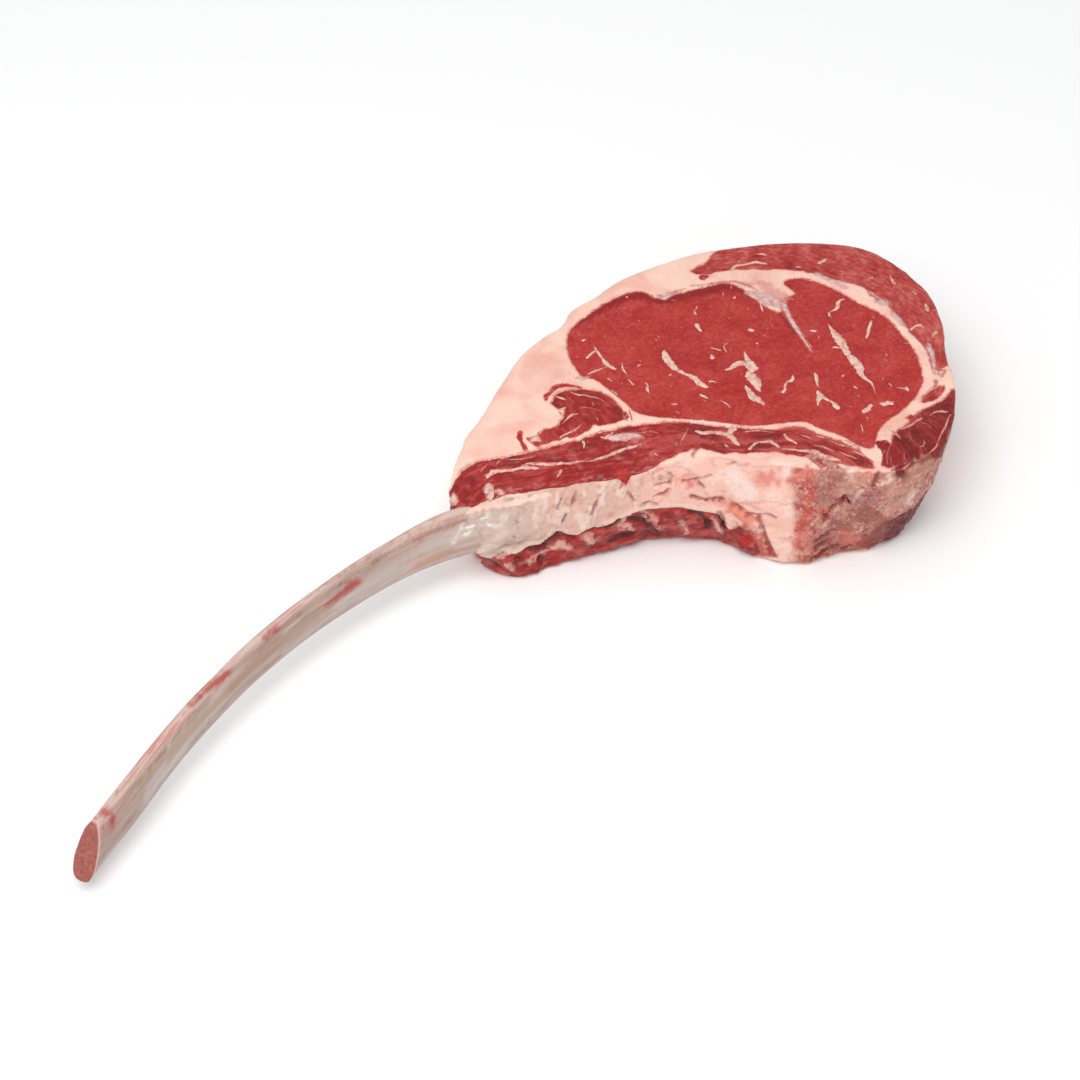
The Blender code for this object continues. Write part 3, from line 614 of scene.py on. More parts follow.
LOWER_MEMBRANE = (
    ((28.4, -4.7, 12.7, 2.7), (31.6, -6.3, 14.1, 4.8), (34.7, -8, 11.9, 2.9)),
    ((41.9, -11.5, 17.6, 3.1), (44.9, -11.9, 13.2, 2.5)),
    ((58.1, -15.9, 16.6, 3), (60.8, -16.5, 18.7, 1.8), (63.4, -16.1, 13.2, 1.9)),
    ((5, 2.9, 13.9, 1.7), (9, 1, 16.4, 1.6)),
    ((18, -2.9, 8.9, 1.9), (22.9, -3.5, 10.5, 1.7), (26.7, -4.1, 10.7, 1.1)),
    ((66.2, -18.6, 26.1, 0.6), (69.1, -19.9, 23.1, 0.8), (72.2, -21.1, 18.6, 0.7),
     (75.3, -21.5, 12.9, 0.7)),
    *LOOSE_SHREDS,
    ((57, -15.8, 19.6, 1), (59, -16.7, 22.9, 1.1)), ((68, -19.2, 21.9, 0.6), (69.3, -19.1, 17.4, 0.7)),
    ((0.9, 12.7, 8, 1.5),), ((9.1, -0.4, 7.5, 1.8), (7.4, 1, 9.8, 1.2)),
)
LOWER_DARK = (
    ((25.8, -3.9, 17.3, 1.8), (28.2, -5, 20.5, 2.3), (31.9, -7.4, 21.6, 2), (33.5, -8.1, 20.1, 1.6),
     (37, -9.3, 16.7, 1.1)), ((40.1, -10.9, 19.3, 1.2), (41.8, -11.4, 21.3, 1.2)),
    ((44.2, -11.9, 21.1, 1.7), (46.8, -12.7, 22.1, 1.8), (50.7, -14.1, 20.5, 2.1),
     (54.2, -15.2, 21.9, 1.8), (56.2, -16, 23.9, 1.2)),
    ((61.5, -17, 21.8, 2.3), (66.2, -18, 20, 1.9), (70.7, -19.4, 15, 2.2),
     (74.3, -19.9, 10.2, 1.9)), ((23, -4, 7.1, 1.8), (22.2, -3.7, 8.5, 0.9)),
    ((3.5, 4.6, 15.8, 1.8), (5.9, 2.6, 17.4, 1)),
    ((84.7, -29.8, 23.8, 1.9), (88.2, -32.5, 22.8, 2.5), (91.5, -34.1, 18.6, 2.6),
     (92.2, -32.2, 11.7, 1.8)),
    ((53.6, -13.2, 9.4, 2.3), (59.2, -14.5, 10.5, 3.1), (64.5, -15.4, 10.2, 2.3)),
    ((11, -1.5, 8.6, 1.1), (13.2, -1.4, 11.7, 1)),
    ((15.1, -1, 16.5, 1.8), (21.3, -2.7, 14.4, 2.1), (25.3, -3.9, 15, 2)),
    ((2.6, 5.7, 10.5, 1.5), (5.8, 2.7, 6.8, 1.9)),
    ((94.3, -37.5, 24.8, 1.2), (95.8, -38.6, 19.9, 1.7), (96.7, -38.5, 14.4, 1.6)),
)
print(len(DARK), "dark cracks in the chine face")

# %% Clefts on the upper cut, pressed in a little and painted with the shade that falls in them
SHADED_CLEFTS = (
    ((219.1, 3.1, 1.7), (221.4, 3.8, 3.1), (224.6, 5, 2.1), (226.7, 6.9, 0.5)),
    ((217.2, 24.3, 0.7), (218.1, 20.3, 1.2), (216.3, 13.5, 1.7), (216.8, 9, 1.8)),
    ((219.2, 24.7, 1.3), (221.7, 26.4, 0.5)),
    ((208, 34.1, 0.6), (210.2, 31.7, 1.2), (213.6, 30.1, 0.8)),
    ((218.5, 0.1, 0.5), (218.1, -5.5, 1), (217.1, -11.1, 0.6)),
    ((216.5, -16.3, 1.3), (216.4, -18.6, 3.2), (216.2, -21.8, 2.4)),
    ((216.2, -26.1, 0.9), (215.3, -27.9, 1.1)),
    ((213.6, -31.5, 0.7), (211.1, -36.7, 1.2), (207.9, -41.4, 0.7)),
    ((204, -49.1, 0.9), (201.2, -52, 1.2), (197, -53.7, 1.1), (192.6, -55.7, 1)),
    ((208, -46.2, 0.9), (208.2, -48, 0.9), (211.8, -45.7, 0.6)),
    ((93, -21.9, 1.1), (91, -24.6, 1.6), (87.8, -26.2, 1.1)),
    ((70, -12.4, 0.7), (71.7, -13.7, 1.5), (73.6, -15.6, 1.8), (75.1, -18, 1.1)),
    ((74.7, -13.3, 0.6), (76.5, -15.3, 0.8), (78.1, -17.4, 0.5)), ((77.4, 11.3, 1), (76.6, 8.6, 1)),
    ((14.4, 11.1, 1), (16.9, 7.1, 2), (22.1, 4.7, 2.5), (26.9, 2.4, 1.6)),
)
print(len(SHADED_CLEFTS), "clefts on the upper cut")

# %% [markdown]
# ## Relief
# A cut muscle face is nearly flat, with a faint swell and a fine grain, and the fat between the
# muscles stands a little proud of it. The torn rib meat is bundled, the sheath over the rib is slit
# across, and the chine face is a rubble of bone and tissue. All of it is pushed out of the skin along
# its normals before the pieces are cut, so the seams stay shut.
# %% Which side of the steak a spot is on
SHEATH_OVER_RIB = 1.3
TOWARDS_BONE = np.array((-0.559, -0.829, 0.0))


def faces_of(spots, facing):
    """How far each spot is on the upper cut, the lower cut, the side, the front and the chine face."""
    upper = smooth(facing[:, 2], 0.4, 0.85) * smooth(spots[:, 2], 36, 41)
    lower = smooth(-facing[:, 2], 0.4, 0.85)
    side = fall(np.abs(facing[:, 2]), 0.3, 0.85)
    front = smooth(facing @ TOWARDS_BONE, 0.05, 0.45) * (1 - upper) * (1 - lower)
    chine = front * smooth(spots[:, 0], 115, 121) * fall(spots[:, 0], 178, 192)
    return upper, lower, side, front, chine


shares = [round(float(share.mean()), 2) for share in faces_of(drawn(meat), normals(meat))]
print("upper cut, lower cut, side, front and chine face take up", shares, "of the skin")

# %% Push the relief out of the skin
spots = drawn(meat)
spots[:, 2] *= top_height(spots) / THICKNESS
redraw(meat, spots)
facing = normals(meat)
upper_cut, lower_cut, side_wall, front_wall, chine_wall = faces_of(spots, facing)
flat_face = upper_cut + lower_cut
plain_front = front_wall * (1 - chine_wall)
holder, seam = seams_at(spots)
in_fat = holder == ""
torn = np.isin(holder, ("upper", "tail", "chine", "sliver"))
wall = unrolled(spots, upper_cut)
push = flat_face * (0.35 * in_fat * smooth(seam, 0, 1.6) - 0.28 * np.exp(-((seam / 0.7) ** 2)))
push += flat_face * (0.30 * rough(spots, 26, 2) + 0.10 * rough(spots, 3.5, 2, 5))
push += flat_face * torn * smooth(seam, 0, 2) * 0.55 * rough(spots, 4.5, 3, 9, (1, 1.6, 1))
push += side_wall * (1 - front_wall) * (0.9 * rough(spots, 15, 2, 2) + 0.35 * rough(spots, 5, 3, 3))
push += plain_front * (0.5 * rough(spots, 14, 2, 2) + 0.25 * rough(spots, 4, 3, 3))
print("skin relief from", round(push.min(), 2), "to", round(push.max(), 2), "mm")

# %% Creases, flakes and torn bundles on the side
LIP_LIFT, LIP_WIDTH = 1.2, 1.6


def creases(wall):
    """1 in the creases that run along the front, 0 between them."""
    return smooth(1 - np.abs(rough(wall, 16, 3, 77, (0.45, 1, 1))), 0.93, 1.0)


def flakes(wall):
    """1 on the small flakes of sheath that the knife has lifted over the rib, 0 between them."""
    return smooth(rough(wall, 6.5, 3, 7, (1, 0.5, 1)), 0.05, 0.4)


def edge_lip(wall, fray):
    """1 on the lip of fat and membrane that hangs over the lower strip, 0 away from it."""
    lip = [[(x, y, z + LIP_LIFT, LIP_WIDTH) for x, y, z in LOWER_EDGE[3:-3]]]
    return fall(gaps(wall, on_wall(lip)) + 0.8 * fray, -0.4, 1.0)


on_rib = plain_front * smooth(spots[:, 2], 20, 26) * fall(spots[:, 0], 60, 76)
below_rib = plain_front * fall(spots[:, 2], 21, 26)
push += 0.7 * plain_front * edge_lip(wall, 0.0)
push += on_rib * (0.75 * flakes(wall) + 0.35 * rough(wall, 6, 2, 8, (1, 0.35, 1)))
push -= 0.25 * (plain_front - on_rib - below_rib).clip(0, 1) * creases(wall)
push += below_rib * (1.3 * rough(wall, 4.5, 3, 21, (0.6, 1, 1)) + 1.8 * rough(wall, 10, 2, 23))
push += chine_wall * (1.1 * rough(spots, 9, 2, 31) + 0.9 * rough(spots, 3.2, 3, 17))
print("with the side from", round(push.min(), 2), "to", round(push.max(), 2), "mm")

# %% Let the sheath run over the front of the rib
place = rib_place(spots)
thick = rib_rows(place[:, 0])[:, 4]
short = 0.5 * thick * (rib_front(place[:, 2]) - place[:, 1]) + SHEATH_OVER_RIB
reach = smooth(spots[:, 0], -13, -5) * fall(spots[:, 0], 60, 76)
reach *= front_wall * fall(np.abs(place[:, 2]), 0.8, 1.1)
push += np.clip(short, 0, 5) * reach
print("the sheath is thickened by up to", round(float((short * reach).max()), 1), "mm")

# %% Press in the slits, clefts and crevices, and raise the nubs and shreds
wavy = 0.5 * rough(spots, 3, 2, 41)
off_top = 1 - flat_face
PRESSED = (
    (SLITS, 1.1, -0.3, 0.8), (FOLD, 1.2, -0.8, 1.2), (HOLE, 3.2, -1.2, 0.8), (DARK, 1.4, -1.2, 1.0),
    (LOWER_DARK, 1.1, -1.0, 1.0), (MEMBRANE, -0.7, -1.0, 0.7), (LOWER_MEMBRANE, -1.3, -1.4, 1.0),
    (ORANGE, -1.2, -3.0, 1.5), (STRONG_RED, -0.5, -1.5, 1.0),
)  # how deep, and how far past its edge a mark is full and gone. A depth below 0 stands out.
for group, depth, low, high in PRESSED:
    push -= off_top * depth * fall(gaps(wall, on_wall(group)) + wavy, low, high)
push -= upper_cut * 0.25 * fall(gaps(spots, SHADED_CLEFTS) + wavy, -0.8, 0.9)
spots += facing * push[:, None]
spots[:, 2] = np.maximum(spots[:, 2], 0.0)
redraw(meat, spots)
print("relief from", round(push.min(), 2), "to", round(push.max(), 2), "mm")

# %% [markdown]
# ## The rib
# The rib is one long flat bar with a thin upper edge and a thick lower one. A section that changes
# size is swept along its curve, ring by ring, and both saw cuts are closed with smaller and smaller
# copies of the last ring, so that the spongy inside can have its own pits.
# %% Sweep the rib
RIB_SIDES, RIB_TIP_SLANT, RIB_SLANT_REACH = 56, 0.5, 18.0
heading = np.gradient(centre[:, :2], axis=0)
heading /= np.linalg.norm(heading, axis=1, keepdims=True)
angle = 2 * np.pi * np.arange(RIB_SIDES) / RIB_SIDES
across = np.sign(np.cos(angle)) * np.abs(np.cos(angle)) ** BLUNTNESS * (1 - RIB_TAPER * np.sin(angle))
rings, grain = [], []
for (x, y, z, height, thick), (hx, hy), far in zip(rows, heading, travel):
    slant = RIB_TIP_SLANT * max(0.0, 1 - far / RIB_SLANT_REACH)
    lift = 0.5 * height * np.sin(angle)
    side = 0.5 * thick * across
    ring = [x + hy * side + hx * slant * lift, y - hx * side + hy * slant * lift, z + lift]
    rings.append(np.stack(ring, 1))
    grain.append(np.stack([np.full(RIB_SIDES, far), side * 2, lift], 1))
print(len(rings), "rings of", RIB_SIDES, "points along the rib")

# %% Close the two saw cuts and make the rib's mesh
CAP_RINGS, CAP_STEP = 9, 0.3
first, last = rings[0], rings[-1]
first_grain, last_grain = grain[0], grain[-1]
for k in range(1, CAP_RINGS):
    shrink = 1 - k / CAP_RINGS
    rings.insert(0, first.mean(0) + (first - first.mean(0)) * shrink)
    grain.insert(0, first_grain * (1, shrink, shrink) - (k * CAP_STEP, 0, 0))
    rings.append(last.mean(0) + (last - last.mean(0)) * shrink)
    grain.append(last_grain * (1, shrink, shrink) + (k * CAP_STEP, 0, 0))
count = len(rings)
skin = np.vstack(rings + [rings[0].mean(0)[None], rings[-1].mean(0)[None]])
faces = between(count, RIB_SIDES)
for i in range(RIB_SIDES):
    j = (i + 1) % RIB_SIDES
    faces.append((count * RIB_SIDES, j, i))
    faces.append((count * RIB_SIDES + 1, (count - 1) * RIB_SIDES + i, (count - 1) * RIB_SIDES + j))
rib = new_piece("rib", skin, faces)
rib_grain = np.vstack(grain + [grain[0].mean(0)[None], grain[-1].mean(0)[None]])
print("the rib has", len(skin), "points")

# %% Bone relief: long scraped grooves, a hollow along the broad face, pits at the saw cuts
facing = normals(rib)
sawn = (np.arange(len(skin)) < (CAP_RINGS - 1) * RIB_SIDES) | (np.arange(len(skin)) >= len(skin) - 2)
push = 0.22 * rough(rib_grain, 6, 3, 4, (0.12, 1, 1)) + 0.5 * rough(rib_grain, 30, 2, 8, (0.5, 1, 1))
push = np.where(sawn, 0.35 * rough(skin, 1.6, 2, 3), push)
push[len(skin) - 2 - (CAP_RINGS - 1) * RIB_SIDES:] *= 0.3
redraw(rib, skin + facing * push[:, None])
print("bone relief from", round(push.min(), 2), "to", round(push.max(), 2), "mm")

# %% [markdown]
# ## Cutting the meat
# Each cutter is an upright prism along one muscle's outline. The piece is what the prism and the
# body share, and the fat is what all prisms leave over. The manifold solver does this fast, and it
# keeps every piece closed.
# %% Upright cutters
def prism(name, stack):
    """A closed upright body through rings of as many points each, its two ends split alike."""
    count, last = len(stack[0]), (len(stack) - 1) * len(stack[0])
    flat = [Vector(p[:2]) for p in stack[-1]]
    ends = delaunay_2d_cdt(flat, [(i, (i + 1) % count) for i in range(count)], [], 1, 1e-6)[2]
    faces = [tuple(t)[::-1] for t in ends] + [tuple(k + last for k in t) for t in ends]
    for a in range(0, last, count):
        for i in range(count):
            j = (i + 1) % count
            faces += [(a + i, a + j, a + j + count), (a + i, a + j + count, a + i + count)]
    made = new_piece(name, np.vstack(stack), faces)
    made.hide_render = True
    return made


def level(plan, z):
    """A ring of an outline at a height, or at a height for each point."""
    return np.column_stack([plan[:, :2], np.broadcast_to(z, len(plan))])


cutters = {}
for name in ("cap", "tail", "sliver"):
    cutters[name] = prism(name + " cut", [level(plans[name], z) for z in (CUT_LOW, CUT_HIGH)])
narrow = eye_middle + EYE_LOW_SCALE * (plans["eye"] - eye_middle)
cutters["eye"] = prism("eye cut", [level(narrow, CUT_LOW), level(plans["eye"], CUT_HIGH)])
print("cutters:", ", ".join(cutters))

# %% The two strips of rib meat end above and below the rib
uneven = rough(level(front_line, 0), 7, 3, 6)
front_floor = top_height(front_line) - UPPER_FLOOR_DROP * front_left(front_line[:, 0]) - 1.0 + uneven
front_floor -= DRIP_DEPTH * np.exp(-np.square((front_line[:, 0] - DRIP_X) / DRIP_WIDTH))
upper_floor = np.concatenate([np.full(len(seam_line), UPPER_FLOOR_BACK), front_floor[::-1]])
cutters["upper"] = prism("upper cut", [level(plans["upper"], z) for z in (upper_floor, CUT_HIGH)])
rim_along = along(np.array(LOWER_EDGE), WALL_LINE)[:, 0]
order = np.argsort(rim_along)
lower_top = np.interp(
    along(plans["lower"], WALL_LINE)[:, 0], rim_along[order], np.array(LOWER_EDGE)[order, 2]
)
lower_top += 0.8 * rough(level(plans["lower"], 0), 5, 3, 12)
cutters["lower"] = prism("lower cut", [level(plans["lower"], z) for z in (CUT_LOW, lower_top)])
reaches = round(upper_floor.min(), 1), round(lower_top.max(), 1)
print("the upper strip starts at a height of", reaches[0], "and the lower one ends at", reaches[1])

# %% The chine muscle's cutter has a waist, where a skin of fat covers its side
CHINE_WAIST_LEVELS, CHINE_WAIST, CHINE_WAIST_CENTRE = (20.0, 25.0, 47.0, 51.0), 0.55, (181.0, -69.0)
chine_plan = plans["chine"]
waist = np.array(CHINE_WAIST_CENTRE) + CHINE_WAIST * (chine_plan - CHINE_WAIST_CENTRE)
floors = (CUT_LOW, *CHINE_WAIST_LEVELS, CUT_HIGH)
shapes = (chine_plan, chine_plan, waist, waist, chine_plan, chine_plan)
cutters["chine"] = prism("chine cut", [level(shape, z) for shape, z in zip(shapes, floors)])
print("the chine muscle draws in to", CHINE_WAIST)

# %% The piece of backbone in the chine face
CHINE_BONE_CENTRE, CHINE_BONE_SIZE = (146.0, -73.0, 29.0), (17.0, 19.0, 28.0)
ball = bmesh.new()
bmesh.ops.create_icosphere(ball, subdivisions=4, radius=1.0)
round_points = np.array([v.co[:] for v in ball.verts])
round_faces = [tuple(v.index for v in f.verts) for f in ball.faces]
ball.free()
blocky = np.sign(round_points) * np.abs(round_points) ** 0.75
blocky *= 1 + 0.12 * rough(round_points, 0.8, 2, 4)[:, None]
backbone_cut = new_piece(
    "backbone cut", np.array(CHINE_BONE_CENTRE) + blocky * np.array(CHINE_BONE_SIZE) / 2, round_faces
)
backbone_cut.hide_render = True
print("the backbone's cutter has", len(round_points), "points")

# %% Cut them
def carve(made, operation, cutter):
    """Gives a piece a Boolean modifier, which settle later turns into mesh."""
    cut = made.modifiers.new(cutter.name, "BOOLEAN")
    cut.operation, cut.object, cut.solver = operation, cutter, "MANIFOLD"


pieces = {}
fat = put("fat_cover", meat.data.copy())
for name, cutter in cutters.items():
    pieces[name] = put(name + "_meat", meat.data.copy())
    carve(pieces[name], "INTERSECT", cutter)
    carve(pieces[name], "DIFFERENCE", rib)
    carve(pieces[name], "DIFFERENCE", backbone_cut)
    carve(fat, "DIFFERENCE", cutter)
carve(fat, "DIFFERENCE", rib)
carve(fat, "DIFFERENCE", backbone_cut)
pieces["fat"] = fat
pieces["backbone"] = put("backbone_end", meat.data.copy())
carve(pieces["backbone"], "INTERSECT", backbone_cut)
carve(pieces["backbone"], "DIFFERENCE", rib)
for made in pieces.values():
    settle(made)
print("cut", len(pieces), "pieces of meat, fat and backbone")

# %% Saw the rib flush with the chine face, by a block of the air outside
AIR_X, AIR_Y, AIR_Z = (112, 170), (-110, -52), (15, 75)
SHARP_ANGLE = math.radians(50)
air = new_piece(
    "air", [(x, y, z) for z in AIR_Z for y in AIR_Y for x in AIR_X],
    [(0, 2, 3, 1), (4, 5, 7, 6), (0, 1, 5, 4), (2, 6, 7, 3), (0, 4, 6, 2), (1, 3, 7, 5)],
)
carve(air, "DIFFERENCE", meat)
settle(air)
carve(rib, "DIFFERENCE", air)
settle(rib)
pieces["rib"] = rib
for worn in (meat, air, backbone_cut, *cutters.values()):
    bpy.data.objects.remove(worn, do_unlink=True)
for name, made in pieces.items():
    made.data.shade_smooth()
    made.data.set_sharp_from_angle(angle=SHARP_ANGLE)
    print(name, len(made.data.polygons), "faces")


# %% [markdown]
# ## Paint on the skin
# Much of what makes raw meat look real is colour that changes over a few millimetres: blood by the
# bone, a pink rim along a seam, grey bone showing through. Some of the paint stands for light and
# shade instead: painted shade in clefts, slits, hollows and a furrow on the rib, painted light on the
# low front, and a painted highlight on the rib's upper edge. Each mark is worked out at the points
# of the skin and stored there as paint, with how fully it covers. The finish mixes it over its own
# colour and frays its rim. A tone is given as it looks in the finished picture.
# %% A tone as it looks, and as the shader needs it
LIGHT, SHINE = 1.14, 0.018  # what a level white surface sends to the camera, and what its wet film adds
DARKEST, PALEST = 0.002, 0.93


def tone(red, green, blue):
    """The shader's colour for a tone as it looks in the finished picture, from 0 to 255."""
    look = np.array((red, green, blue)) / 255
    linear = np.where(look < 0.04045, look / 12.92, ((look + 0.055) / 1.055) ** 2.4)
    return (*np.clip((linear - SHINE) / LIGHT, DARKEST, PALEST).tolist(), 1.0)


print("a pale fat looks like (250, 205, 188) and is", [round(c, 2) for c in tone(250, 205, 188)[:3]])

# %% Stains on the side: blood, bone, tissue and pale fat
FAINT_RED = (
    ((107.8, -50, 47.1, 5.3), (111.1, -52.7, 48.6, 3.9)),
    ((119.8, -58.9, 51.4, 3.4), (123.3, -62.1, 52, 4.5)),
    ((120.6, -65.7, 18.6, 3.5), (121.5, -66.6, 13.2, 3.1)),
    ((137.7, -73, 18.8, 6.6), (141.8, -73.5, 10.1, 5.8)), ((83.8, -28.5, 41.6, 2.6),),
    ((144.2, -78.5, 54.5, 2.2),),
)
PALE = (
    ((99, -40.8, 45.6, 7.9), (102.5, -45.2, 38.8, 9.3)),
    ((116, -56.1, 50.5, 1.8), (117.8, -56.3, 53.3, 1.8)),
    ((149.3, -82.4, 49.4, 1.7), (151.4, -83.7, 51.1, 1.1)),
    ((164.4, -84.4, 35.5, 3.1), (163.5, -83.5, 29.8, 3.1)),
    ((139.3, -75.7, 41.6, 1.5), (141.3, -77.1, 43.4, 1.4)),
    ((137.8, -72.7, 55.1, 2.2), (137.4, -74.8, 52.1, 1.7)),
)
TAN = (
    ((132, -67.5, 55.2, 6.2), (134.9, -70.8, 55.1, 5)),
    ((135.1, -73.5, 46.9, 5.8), (138.9, -75.9, 51, 6.6)),
    ((152.8, -84.7, 45.7, 6.3), (158.8, -84.4, 36.1, 10.4), (156, -83.6, 32.1, 9.2)),
    ((163.1, -86.5, 49.5, 10.8), (170, -86.4, 53.5, 6.3)),
)
GREY = (
    ((127.4, -67.9, 46, 5.3), (127.9, -70, 40.1, 6.1)),
    ((142.1, -77.4, 38.3, 7.4), (145.6, -80.4, 40.1, 9.3)),
    ((133, -73, 29.4, 3.5), (132.1, -71.7, 24.5, 3.9)),
    ((127.2, -69, 14.5, 5.4), (130, -70.8, 18.8, 5.7)),
    ((135.2, -71.7, 14.1, 3), (136.8, -70.4, 5.9, 3.2)),
)
BROWN = (
    ((131.2, -70.3, 51.2, 3.5), (133.3, -71.6, 53, 2.8)),
    ((143.4, -77.3, 29, 9.4), (147.3, -79, 26.4, 6.5)),
    ((132.8, -72.1, 25.7, 2.9), (138.5, -73.8, 20.9, 3.3)),
    ((153.8, -80.1, 18.8, 7.7), (152.7, -78, 12.7, 7.7)), ((158, -86, 50, 2.5),),
    ((156.5, -84.5, 36.9, 2.8),),
)
LIP_RED = (
    ((101.6, -45.9, 16.5, 6.9), (103.7, -49.3, 11.9, 9.6), (107, -52.7, 5.3, 7)),
)
CORNER_RED = (
    ((119, -63.5, 13, 1.5), (119.7, -64.4, 23.5, 2.6), (121.3, -65.9, 30, 2.6),
     (120.6, -64.9, 36.3, 2.3), (122.5, -65.8, 42, 2.4), (122.5, -63.5, 49, 1.8)),
)
print(len(FAINT_RED) + len(STRONG_RED) + len(CORNER_RED), "red stains on the side")

# %% Stains on the upper cut: sinew, silverskin and red flecks in the fat, and painted shade by the sinew and seams
SINEW = (
    ((179.2, 32.3, 3.8), (177.8, 26.6, 2.4), (176, 21.2, 2.1), (174.6, 16.4, 2.2),
     (173.7, 11.4, 1.9), (172.4, 5.9, 1.2), (171.5, 1.8, 1), (170.5, -2.5, 0.6)),
)
SINEW_SHADOW = (
    ((174, 26.1, 1), (173.2, 21.3, 1.4), (172.3, 16.3, 1.4), (171.4, 10.6, 0.7)),
)
SILVERSKIN = (
    ((215.1, 8.3, 2.1), (217, 6.3, 4.6), (219.2, 3.9, 2.8)),
    ((216.7, -1.4, 2.3), (216.1, -5.8, 3.1), (215.5, -11, 2.6)),
    ((216.4, -27.9, 2.2), (214.6, -32.4, 2.1), (212, -37, 1.4), (208.8, -41.7, 1.5),
     (206.2, -45, 0.9)),
    ((135.5, 67.4, 1.1), (136.9, 64.5, 2.7), (140.6, 64.3, 1.3), (143.5, 64.4, 0.7)),
    ((170.5, 46, 2.4), (173, 41, 5), (174.8, 36.3, 7.1), (176.6, 32.7, 6), (177.7, 29.5, 3.2)),
    ((204, 39.4, 1.5), (206.2, 34.1, 2.7), (207.7, 28.5, 2.3), (209.4, 23.2, 2)),
    ((63.7, 4.6, 0.7), (66.3, 3, 2.5), (70.3, 1.2, 3), (74.1, -1.1, 1.9), (76.9, -3.9, 0.8)),
    ((73.2, 41.7, 1), (75.3, 40, 2.3), (78, 40, 0.9)),
)
CORNER_MEAT = (
    ((158.2, -65.7, 2.2), (158.3, -70.2, 3.6), (157.6, -74.6, 5), (153.6, -78.8, 5)),
    ((160.4, -67.8, 3), (159.8, -73.4, 5), (157.1, -79, 5)),
)
NOTCH_PINK = (((172.8, 51.2, 2.3), (178.9, 47.9, 4), (179.8, 41.5, 6.7), (181.1, 35.7, 6.6)),)
SEAM_SHADE = (
    ((151.2, 64.2, 0.7), (157.5, 61.2, 0.8), (164.2, 58.8, 0.9), (170.2, 55.4, 1.1),
     (173.1, 50.1, 1.1), (174.8, 44.7, 0.7)),
    ((139.7, 66.1, 0.7), (143.8, 64.9, 1), (149.6, 63.6, 0.6)),
)
RED_FLECKS = (
    ((53.7, 37.5, 1.3), (55.2, 39.6, 2), (58.4, 40.5, 1.3), (61.7, 42.1, 2.7), (65, 41.5, 2.4),
     (67.7, 39.3, 1.6), (71, 35.4, 0.5)),
    ((32.4, 26.2, 2), (31.1, 24.3, 2.4), (30.1, 22, 1.4), (30, 18.7, 1.8)),
    ((33.1, 21.8, 1), (34.6, 20.2, 2.5), (35.4, 17.4, 1.4)),
    ((159.7, 65.9, 3.8), (161.1, 65.4, 2.7)),
    ((178.4, -60.9, 1.2), (180.3, -61.3, 2.8), (180.1, -63, 1.8), (178.3, -63.2, 1.2)),
    ((161.5, 72.3, 1.5), (164.3, 71.3, 2.2)), ((78.1, 11.6, 0.7), (77, 8.4, 1.4)),
)
print(len(SILVERSKIN), "pieces of silverskin")

# %% Stains on the rib: blood, tan streaks and grey patches
RIB_RED = (
    ((-150.9, -12.1, 35.8, 2.1), (-146.1, -11.3, 35.8, 2.2), (-140.4, -9.7, 35.2, 2.1),
     (-136.9, -8.5, 35, 1.2)),
    ((-63.7, 8, 32.1, 2.3), (-67.5, 7.6, 32.2, 2.6), (-70.3, 7.1, 31.7, 1.8), (-75.3, 6.3, 31.6, 1),
     (-80.9, 5.3, 31.4, 0.8)), ((-114.2, -0.5, 36.4, 1.4), (-107.6, 1.4, 37, 1.1)),
    ((-215.8, -44.8, 32.7, 1.8), (-212.9, -45.7, 29.8, 2.5), (-214.1, -47.3, 26.7, 2.6)),
    ((-159.1, -15.6, 35.5, 1.4), (-153.6, -13.5, 35.7, 1.4)),
)
RIB_TAN = (
    ((-176.4, -27.9, 25.6, 5.4), (-159.7, -19.6, 26.6, 5.2), (-138, -10.9, 26.9, 5.2),
     (-118.3, -4.1, 27.3, 5.6), (-96.3, 1.6, 27.7, 5.4), (-79.2, 5.1, 28.2, 4)),
    ((-195.4, -37.3, 28.9, 2.5), (-182.4, -30.6, 28.4, 3.5)),
    ((-31.7, 8.5, 23.8, 3.8), (-23.9, 7.8, 24.3, 4.3), (-17.3, 6.7, 25.2, 3.3)),
)
RIB_GREY = (
    ((-190.7, -35.9, 21.4, 7.7), (-166.8, -23.1, 23.8, 7.7), (-144.3, -13.5, 25.7, 6.1)),
    ((-102.4, 0.1, 23.4, 6.2), (-79.4, 4.9, 26, 5.9), (-57.5, 7.8, 27.5, 6),
     (-36.5, 8.7, 28.9, 5.8), (-21.6, 7.8, 31.6, 5.2)),
)
print(len(RIB_RED), "red streaks on the rib")

# %% Which tone each mark gets
STAINS_AND_SHADE = (
    (FAINT_RED, tone(224, 130, 116), 0.7, 4.0), (PALE, tone(249, 224, 213), 0.75, 2.5),
    (TAN, tone(214, 158, 138), 0.6, 3.2), (GREY, tone(160, 106, 102), 0.5, 3.2),
    (BROWN, tone(146, 80, 71), 0.65, 2.8), (ORANGE, tone(228, 130, 100), 0.75, 2.5),
    (LIP_RED, tone(186, 74, 66), 0.85, 2.5), (STRONG_RED, tone(190, 52, 45), 0.6, 2.6),
    (CORNER_RED, tone(200, 84, 74), 0.5, 2.4),
    # painted shade: the slits are given the dark of the shade inside them
    (SLITS, tone(152, 92, 80), 0.8, 0.6), (FOLD, tone(164, 62, 52), 0.9, 1.0),
    (MEMBRANE, tone(238, 206, 192), 0.65, 1.6), (DARK, tone(122, 52, 46), 0.75, 1.4),
    (HOLE, tone(52, 10, 10), 0.97, 0.8),
)
STRIP_STAINS = (
    (LOWER_MEMBRANE, tone(222, 166, 154), 0.85, 1.9), (LOWER_DARK, tone(88, 22, 22), 0.85, 1.2),
    (STRONG_RED, tone(196, 52, 44), 0.6, 2.0), (DARK, tone(92, 28, 28), 0.8, 1.0),
)
